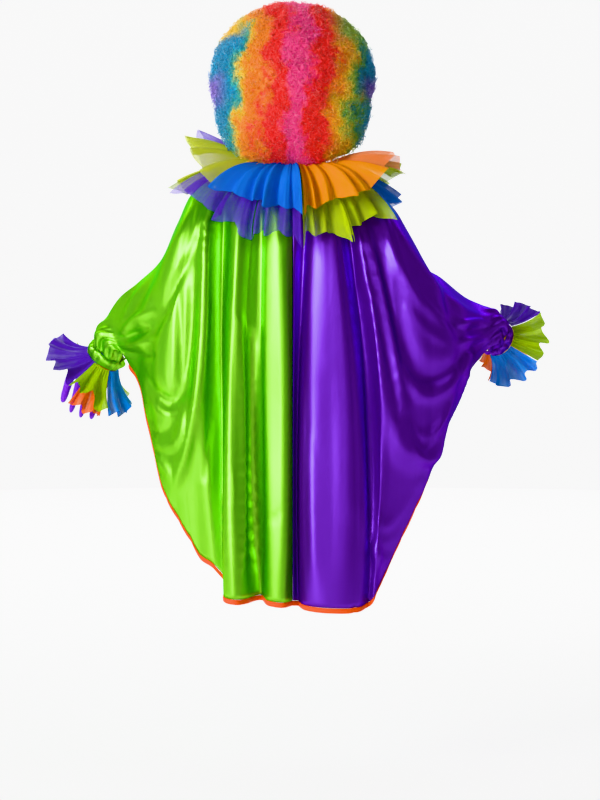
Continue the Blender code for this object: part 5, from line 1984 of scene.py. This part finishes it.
@dataclass
class Glove:
    """A short stretch-knit glove with its wrist at the sleeve's middle, palm to the front."""

    name: str
    finish: Knit
    sleeve: Sleeve
    hand_way: Vector
    thumb_side: int
    fingers: tuple
    rows: tuple = table(
        GloveRow,
        ("opening", 0.034, 0.034, 0.031),
        ("wrist", -0.010, 0.031, 0.026),
        ("heel", -0.038, 0.035, 0.0250),
        ("palm", -0.068, 0.046, 0.0230),
        ("knuckles", -0.104, 0.049, 0.0185),
    )
    thumb: Finger = Finger("thumb", 0.066, 0.0, 0.0115)
    thumb_way: tuple = (0.62, -0.05, -0.78)
    finger_fullness: float = 1.42
    thickness: float = 0.0009
    wrinkle: float = 0.0011
    wrist_place: float = 0.012
    wrist_width: float = 0.028
    joint_place: float = 0.148
    joint_width: float = 0.012
    flat: tuple = (0.20, 0.24)
    area: float = 0.037

    def cage(self) -> tuple:
        """The points and faces of the glove, hanging down with the thumb at +X."""
        verts: list = []
        faces: list = []
        for row in self.rows:
            across = [row.half_width * (1 - i / 2) for i in range(5)]
            verts += [Vector((x, -row.half_depth * b, row.z)) for x, b in zip(across, HAND_BULGE)]
            verts += [Vector((-x, row.half_depth * b, row.z)) for x, b in zip(across, HAND_BULGE)]
        ring = 10
        thumb_base = ()
        for level in range(len(self.rows) - 1):
            for k in range(ring):
                a, b = level * ring + k, level * ring + (k + 1) % ring
                face = (a, b, b + ring, a + ring)
                if k == ring - 1 and self.rows[level].name == "heel":
                    thumb_base = face
                else:
                    faces.append(face)
        knuckles = (len(self.rows) - 1) * ring
        for i, finger in enumerate(self.fingers):
            base = (knuckles + i, knuckles + i + 1, knuckles + 8 - i, knuckles + 9 - i)
            way = Vector((finger.lean, 0.0, -finger.length)) / finger.length
            self.grow_finger(verts, faces, base, way, finger)
        self.grow_finger(verts, faces, thumb_base[::-1], Vector(self.thumb_way).normalized(), self.thumb)
        return verts, faces

    def grow_finger(self, verts: list, faces: list, base: tuple, way: Vector, finger: Finger) -> None:
        """Adds three rings and a tip along a way.

        Args:
            verts: The glove's points, added to.
            faces: The glove's faces, added to.
            base: Four points of the hand.
            way: The way the finger points.
            finger: Its sizes.
        """
        centre = sum((verts[i] for i in base), Vector()) / 4
        previous = base
        for share, narrow in FINGER_RINGS:
            here = centre + way * finger.length * share
            ring = []
            for i in base:
                offset = verts[i] - centre
                offset -= way * offset.dot(way)
                largest = max(abs(c) for c in offset) or 1.0
                ring.append(len(verts))
                verts.append(here + offset / largest * finger.half * self.finger_fullness * narrow)
            for k in range(4):
                following = (k + 1) % 4
                faces.append((previous[k], previous[following], ring[following], ring[k]))
            previous = ring
        faces.append(tuple(previous))

    def build(self) -> Piece:
        """Makes the glove."""
        verts, faces = self.cage()
        way = self.hand_way.normalized()
        palm = Vector((0, 1, 0))
        palm = (palm - way * palm.dot(way)).normalized()
        thumb = palm.cross(way)
        thumb = thumb if thumb.x * self.thumb_side > 0 else -thumb
        turn = Matrix((thumb, palm, -way)).transposed()
        bend = way.rotation_difference(self.sleeve.axis).to_matrix()
        placed = []
        for v in verts:
            offset = turn @ v
            placed.append(self.sleeve.centre + (bend @ offset if v.z > 0 else offset))
        piece = mesh_piece(self.name + "_knit", np.array([tuple(v) for v in placed]), faces, [self.finish])
        turn_outwards(piece)
        rounding = piece.modifiers.new("rounding", "SUBSURF")
        rounding.levels = rounding.render_levels = 3
        apply_modifiers(piece)
        self.crinkle(piece)
        thicken(piece, self.thickness)
        dress(piece, self.finish, self.name)
        return piece

    def crinkle(self, piece: Piece) -> None:
        """Sinks shallow wrinkles across the wrist and the fingers' joints."""
        mesh = piece.data
        count = len(mesh.vertices)
        points = np.zeros(count * 3)
        normals = np.zeros(count * 3)
        mesh.vertices.foreach_get("co", points)
        mesh.vertex_normals.foreach_get("vector", normals)
        points = points.reshape(-1, 3)
        normals = normals.reshape(-1, 3)
        offset = points - np.array(self.sleeve.centre)
        down = offset @ np.array(self.hand_way.normalized())
        side = offset @ unit(np.cross(self.hand_way, [0, 1, 0]))
        depth = np.sin(260 * down + 60 * side) * np.sin(90 * side + 2.0 + 70 * down)
        near_wrist = bell(down - self.wrist_place, self.wrist_width)
        near_joint = bell(down - self.joint_place, self.joint_width) * 0.7
        points -= normals * (self.wrinkle * (depth * 0.5 + 0.5) * (near_wrist + near_joint))[:, None]
        mesh.vertices.foreach_set("co", points.ravel())
        mesh.update()


# ---- Wig ----


@dataclass
class Wig:
    """A round mass of small curls on a net cap, open over the face.

    nape, crown and jowl are how much further out or in the hair reaches there. edge and edge_cheek are
    how far round it goes, and thin_from where it starts to thin towards that edge, in degrees. The curls
    stray from even places by scatter, in radians, and stop rim_margin short of the edge, in degrees.
    Their ranges are a coil's turns against its thread's, how much wider its end is, its rise in radii,
    its size, how deep it sits, and how far it leans outwards.
    """

    head_centre: tuple = (0.0, 0.018, 0.204)
    head_radii: tuple = (0.080, 0.098, 0.116)
    radius: float = 0.202
    nape: float = 0.029
    crown: float = 0.006
    jowl: float = 0.085
    hole_slope: float = -40.0
    edge: float = 102.0
    edge_cheek: float = 7.0
    edge_round: float = 0.62
    thin_from: float = 58.0
    lump: float = 0.022
    cap_wall: float = 0.0020
    cap_gap: float = 0.0004
    root_gap: float = 0.0026
    core_gap: float = 0.0080
    core_share: float = 0.955
    knob: float = 0.0045
    small_knob: float = 0.0022
    curl_count: int = 7600
    curl_radius: float = 0.0050
    fibre: float = 0.00060
    curl_sides: int = 3
    curl_steps: int = 9
    curl_turn: float = 300.0
    curl_coils: tuple = (1.25, 1.8)
    curl_widening: tuple = (-0.3, 0.35)
    curl_rise: tuple = (1.2, 2.6)
    curl_sizes: tuple = (0.72, 1.28)
    curl_sink: tuple = (0.0015, 0.0085)
    curl_outward: tuple = (-0.2, 0.9)
    scatter: float = 0.008
    rim_margin: float = 0.8
    sphere_share: float = 1.75
    kinds: int = 14
    piece_edges: tuple = (-0.095, 0.0, 0.095)
    seed: int = 7

    def way(self, polar: Array, turn: Array) -> Array:
        """Directions at angles from the back of the crown, and round the axis of the face opening."""
        slope = math.radians(self.hole_slope)
        axis = np.array([0, math.cos(slope), math.sin(slope)])
        over = np.array([0, -math.sin(slope), math.cos(slope)])
        side = np.array([1.0, 0, 0])
        ring = np.cos(turn)[..., None] * over + np.sin(turn)[..., None] * side
        return -np.cos(polar)[..., None] * axis + np.sin(polar)[..., None] * ring

    def edge_at(self, turn: Array) -> Array:
        """How far round the hair goes at a turn, in degrees."""
        return self.edge + self.edge_cheek * np.sin(turn) ** 2

    def head_distance(self, way: Array) -> Array:
        """How far the head's surface is from its middle."""
        return 1 / np.linalg.norm(way / np.array(self.head_radii), axis=-1)

    def off_head(self, gap: float) -> Callable:
        """A distance for a bowl that keeps a gap from the head's surface."""
        return lambda way, polar, turn: self.head_distance(way) + gap

    def hair_distance(self, way: Array, polar: Array, turn: Array) -> Array:
        """How far the hair reaches: a lumpy ball, fuller below and rounded off round the face."""
        x, y, z = way[..., 0], way[..., 1], way[..., 2]
        lumps = np.sin(9 * x + 4 * z) * np.sin(8 * z + 3 * y) + 0.6 * np.sin(13 * y + 5 * x + 1.3)
        nape = self.nape * np.maximum(0.0, -z - 0.4) * 1.7 * (1 - 0.5 * np.abs(x))
        jowl = self.jowl * np.maximum(0.0, -z - 0.25) * np.abs(x)
        crown = self.crown * np.maximum(0.0, z - 0.5) * 2
        full = (self.radius + nape + jowl - crown) * (1 + self.lump * lumps * 0.6)
        past = (np.degrees(polar) - self.thin_from) / (self.edge_at(turn) - self.thin_from)
        near_edge = np.maximum(0.0, past)
        thinner = self.edge_round * near_edge**3 * (1 + np.cos(turn)) / 2
        return full - thinner * (full - self.head_distance(way))

    def bowl(self, distance: Callable, turns: int, rings: int) -> tuple:
        """A bowl round the head.

        Args:
            distance: How far it is from the head's middle, from the direction, polar and turn.
            turns: Points round it.
            rings: Rings from its pole to its edge.

        Returns:
            Points by turn and ring, the pole's rows all the same, and the faces.
        """
        turn = np.linspace(0, 2 * math.pi, turns, endpoint=False)[:, None] + np.zeros((1, rings + 1))
        polar = np.radians(self.edge_at(turn)) * np.linspace(0.0, 1.0, rings + 1)
        way = self.way(polar, turn)
        points = np.array(self.head_centre) + way * distance(way, polar, turn)[..., None]
        return points, grid_faces(turns, rings + 1, closed=True)

    def shell(
        self, name: str, outer: Callable, inner: Callable, finish: Finish, turns: int, rings: int
    ) -> Piece:
        """A closed bowl between two distances, with its pole and its rim closed."""
        first, faces = self.bowl(outer, turns, rings)
        second, inner_faces = self.bowl(inner, turns, rings)
        count = first.shape[0] * first.shape[1]
        faces = list(faces) + [tuple(count + i for i in face[::-1]) for face in inner_faces]
        for k in range(turns):
            a = k * (rings + 1) + rings
            b = (k + 1) % turns * (rings + 1) + rings
            faces.append((a, count + a, count + b, b))
        uvs = np.concatenate([grid_uvs(first).reshape(-1, 2), grid_uvs(second).reshape(-1, 2)])
        points = np.concatenate([first.reshape(-1, 3), second.reshape(-1, 3)])
        piece = mesh_piece(name, points, faces, [finish], uvs)
        turn_outwards(piece, merged=1e-6)
        return piece

    def core_distance(self, way: Array, polar: Array, turn: Array) -> Array:
        """The under-hair's surface, knobbly like packed curls."""
        x, y, z = (way[..., k] for k in range(3))
        knobs = np.sin(46 * x + 9 * z) * np.sin(41 * y + 13 * x) * np.sin(44 * z + 7 * y)
        small = np.sin(97 * x + 31 * y) * np.sin(89 * z - 23 * x) * np.sin(93 * y + 17 * z)
        rough = self.knob * knobs + self.small_knob * small
        full = self.hair_distance(way, polar, turn)
        return np.maximum(self.head_distance(way) + self.core_gap, full * self.core_share + rough)

    def curl_kinds(self) -> list:
        """A few curls, each modelled once as a spun thread and drawn out into a coil."""
        made = []
        rng = np.random.default_rng(self.seed)
        for _ in range(self.kinds):
            deselect()
            bpy.ops.mesh.primitive_circle_add(
                vertices=self.curl_sides, radius=self.fibre, location=(self.curl_radius, 0, 0),
                rotation=(math.pi / 2, 0, 0),
            )
            thread = bpy.context.object
            thread.data.transform(thread.matrix_world)
            thread.matrix_world = Matrix.Identity(4)
            bpy.ops.object.mode_set(mode="EDIT")
            bpy.ops.mesh.select_all(action="SELECT")
            bpy.ops.mesh.spin(
                steps=self.curl_steps, angle=math.radians(self.curl_turn), center=(0, 0, 0), axis=(0, 0, 1),
            )
            bpy.ops.object.mode_set(mode="OBJECT")
            mesh = thread.data
            points = np.zeros(len(mesh.vertices) * 3)
            mesh.vertices.foreach_get("co", points)
            faces = [tuple(face.vertices) for face in mesh.polygons]
            made.append(self.draw_out(points.reshape(-1, 3), faces, rng))
            bpy.data.objects.remove(thread)
        return made

    def draw_out(self, points: Array, faces: list, rng: np.random.Generator) -> tuple:
        """Turns a spun ring into a loose coil.

        Args:
            points: The ring's points.
            faces: Its faces.
            rng: The source of unevenness.

        Returns:
            The coil's points and faces.
        """
        turn = np.arctan2(points[:, 1], points[:, 0])
        turn = np.where(turn < -0.35, turn + 2 * math.pi, turn)
        reach = np.hypot(points[:, 0], points[:, 1])
        coils = rng.uniform(*self.curl_coils)
        far = turn / math.radians(self.curl_turn)
        wider = 1 + rng.uniform(*self.curl_widening) * far + 0.12 * np.sin(5 * far + rng.uniform(0, 6))
        fibre = reach - self.curl_radius
        swept = turn * coils
        radius = self.curl_radius * wider + fibre
        height = points[:, 2] + (far - 0.5) * self.curl_radius * rng.uniform(*self.curl_rise)
        return np.stack([radius * np.cos(swept), radius * np.sin(swept), height], axis=1), faces

    def curls(self) -> list:
        """The curls, in four pieces from the wearer's left to their right."""
        rng = np.random.default_rng(self.seed + 1)
        kinds = self.curl_kinds()
        total = int(self.curl_count * self.sphere_share)
        index = np.arange(total) + 0.5
        polar = np.arccos(1 - 2 * index / total)
        turn = (math.pi * (1 + 5**0.5) * index) % (2 * math.pi)
        polar = polar + rng.normal(0, self.scatter, total)
        inside = np.degrees(polar) < self.edge_at(turn) - self.rim_margin
        polar, turn = polar[inside], turn[inside]
        way = self.way(polar, turn)
        sink = rng.uniform(*self.curl_sink, len(way))
        reach = self.hair_distance(way, polar, turn) - sink
        middle = np.array(self.head_centre) + way * reach[:, None]
        groups: dict = {"left": [], "middle_left": [], "middle_right": [], "right": []}
        for place, out in zip(middle, way):
            key = list(groups)[int(np.searchsorted(self.piece_edges, place[0]))]
            spin = Matrix.Rotation(rng.uniform(0, 2 * math.pi), 3, "Z")
            lean = Vector(rng.normal(0, 1, 3)) * 0.9 + Vector(out) * rng.uniform(*self.curl_outward)
            facing = lean.to_track_quat("Z", "Y").to_matrix()
            size = rng.uniform(*self.curl_sizes)
            points, faces = kinds[rng.integers(len(kinds))]
            groups[key].append((points @ np.array(facing @ spin).T * size + place, faces))
        made = []
        for key, copies in groups.items():
            points = np.concatenate([curl for curl, _ in copies])
            faces = []
            start = 0
            for curl, curl_faces in copies:
                faces += [tuple(start + i for i in face) for face in curl_faces]
                start += len(curl)
            made.append(dress(mesh_piece("wig_curls_" + key, points, faces, [CURL_BANDS]), CURL_BANDS))
        return made

    def build(self) -> list:
        """Makes the cap, the under-hair and the curls."""
        outer = self.off_head(self.cap_wall)
        cap = self.shell("wig_cap_net", outer, self.off_head(self.cap_gap), WIG_NET, 96, 40)
        dress(cap, WIG_NET, "wig_cap")
        root = self.off_head(self.root_gap)
        core = self.shell("wig_under_hair", self.core_distance, root, ROOT_BANDS, 160, 76)
        dress(core, ROOT_BANDS, "wig_hair")
        return [cap, core] + self.curls()


# ---- Studio ----


@dataclass(frozen=True)
class Lamp:
    """A soft light: its place, what it faces, its size and its strength."""

    name: str
    place: tuple
    target: tuple
    width: float
    height: float
    watts: float


@dataclass
class Studio:
    """A round room with a pale floor and a wall that is bright behind the costume, lit softly."""

    floor_level: float = -1.489
    floor_radius: float = 30.0
    camera_place: tuple = (0.017, -5.0, -0.35)
    camera_target: tuple = (0.017, 0.0, -0.547)
    lens: float = 94.0
    surround_strength: float = 0.02
    wall_radius: float = 9.0
    wall_height: float = 9.0
    wall_sides: int = 96
    lamps: tuple = table(
        Lamp,
        ("key", (-2.7, -3.75, 0.9), (0.0, 0.0, -0.45), 1.2, 2.2, 262.0),
        ("fill", (0.6, -4.9, 0.3), (0.0, 0.0, -0.5), 1.2, 1.6, 18.0),
        ("top", (0.0, -0.6, 3.2), (0.0, 0.0, -0.2), 2.2, 1.6, 26.0),
        ("far_left", (-2.4, 4.2, 1.0), (0.0, 0.0, -0.45), 1.2, 2.2, 26.0),
        ("far_right", (2.4, 4.2, 0.8), (0.0, 0.0, -0.45), 1.2, 2.2, 26.0),
        ("floor_wash", (0.0, 5.6, 4.4), (0.0, 5.8, -1.5), 9.0, 4.0, 900.0),
    )

    def build(self) -> None:
        """Makes the floor, the wall, the lights and the camera."""
        deselect()
        bpy.ops.mesh.primitive_circle_add(
            vertices=self.wall_sides, radius=self.floor_radius, fill_type="NGON",
            location=(0, 0, self.floor_level),
        )
        self.set_stage("studio_floor", FLOOR_PAINT)
        deselect()
        bpy.ops.mesh.primitive_cylinder_add(
            vertices=self.wall_sides, radius=self.wall_radius, depth=self.wall_height,
            end_fill_type="NOTHING", location=(0, 0, self.floor_level + self.wall_height / 2),
        )
        self.set_stage("studio_backdrop", BACKDROP_PAINT).data.flip_normals()
        world = bpy.data.worlds.new("studio_light")
        bpy.context.scene.world = world
        world.use_nodes = True
        background = world.node_tree.nodes["Background"]
        background.inputs["Color"].default_value = (1.0, 1.0, 1.0, 1.0)
        background.inputs["Strength"].default_value = self.surround_strength
        for lamp in self.lamps:
            light = bpy.data.lights.new(lamp.name, "AREA")
            light.shape = "RECTANGLE"
            light.size = lamp.width
            light.size_y = lamp.height
            light.energy = lamp.watts
            self.aim(bpy.data.objects.new(lamp.name, light), lamp.place, lamp.target)
        camera = bpy.data.cameras.new("camera")
        camera.lens = self.lens
        camera.sensor_width = 36.0
        camera.sensor_fit = "AUTO"
        camera.clip_end = 200.0
        made = bpy.data.objects.new("camera", camera)
        self.aim(made, self.camera_place, self.camera_target)
        bpy.context.scene.camera = made
        bpy.context.scene.view_settings.view_transform = "Khronos PBR Neutral"

    def set_stage(self, name: str, finish: StudioPaint) -> Piece:
        """Names and paints the mesh just added, and puts its place in it."""
        staged = bpy.context.object
        staged.name = name
        staged.data.transform(staged.matrix_world)
        staged.matrix_world = Matrix.Identity(4)
        staged.data.materials.append(material_of(finish))
        return staged

    def aim(self, thing: Piece, place: tuple, target: tuple) -> None:
        """Puts a light or camera at a place, facing a target."""
        bpy.context.scene.collection.objects.link(thing)
        thing.location = place
        thing.rotation_euler = (Vector(target) - Vector(place)).to_track_quat("-Z", "Y").to_euler()


def main() -> None:
    """Dresses the costume and reports each piece."""
    logging.basicConfig(level=logging.INFO, format="%(message)s")
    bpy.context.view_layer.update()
    Studio().build()
    pieces = Poncho().build()
    pieces += Ruff().build()
    pieces += Cuffs().build()
    gloves = (
        Glove("glove_left", PURPLE_KNIT, LEFT_SLEEVE, LEFT_HAND_WAY, -1, HANGING_FINGERS),
        Glove("glove_right", YELLOW_KNIT, RIGHT_SLEEVE, RIGHT_HAND_WAY, 1, SPREAD_FINGERS),
    )
    pieces += [glove.build() for glove in gloves]
    pieces += Wig().build()
    LOG.info("%d pieces", len(pieces))


if __name__ == "__main__":
    main()
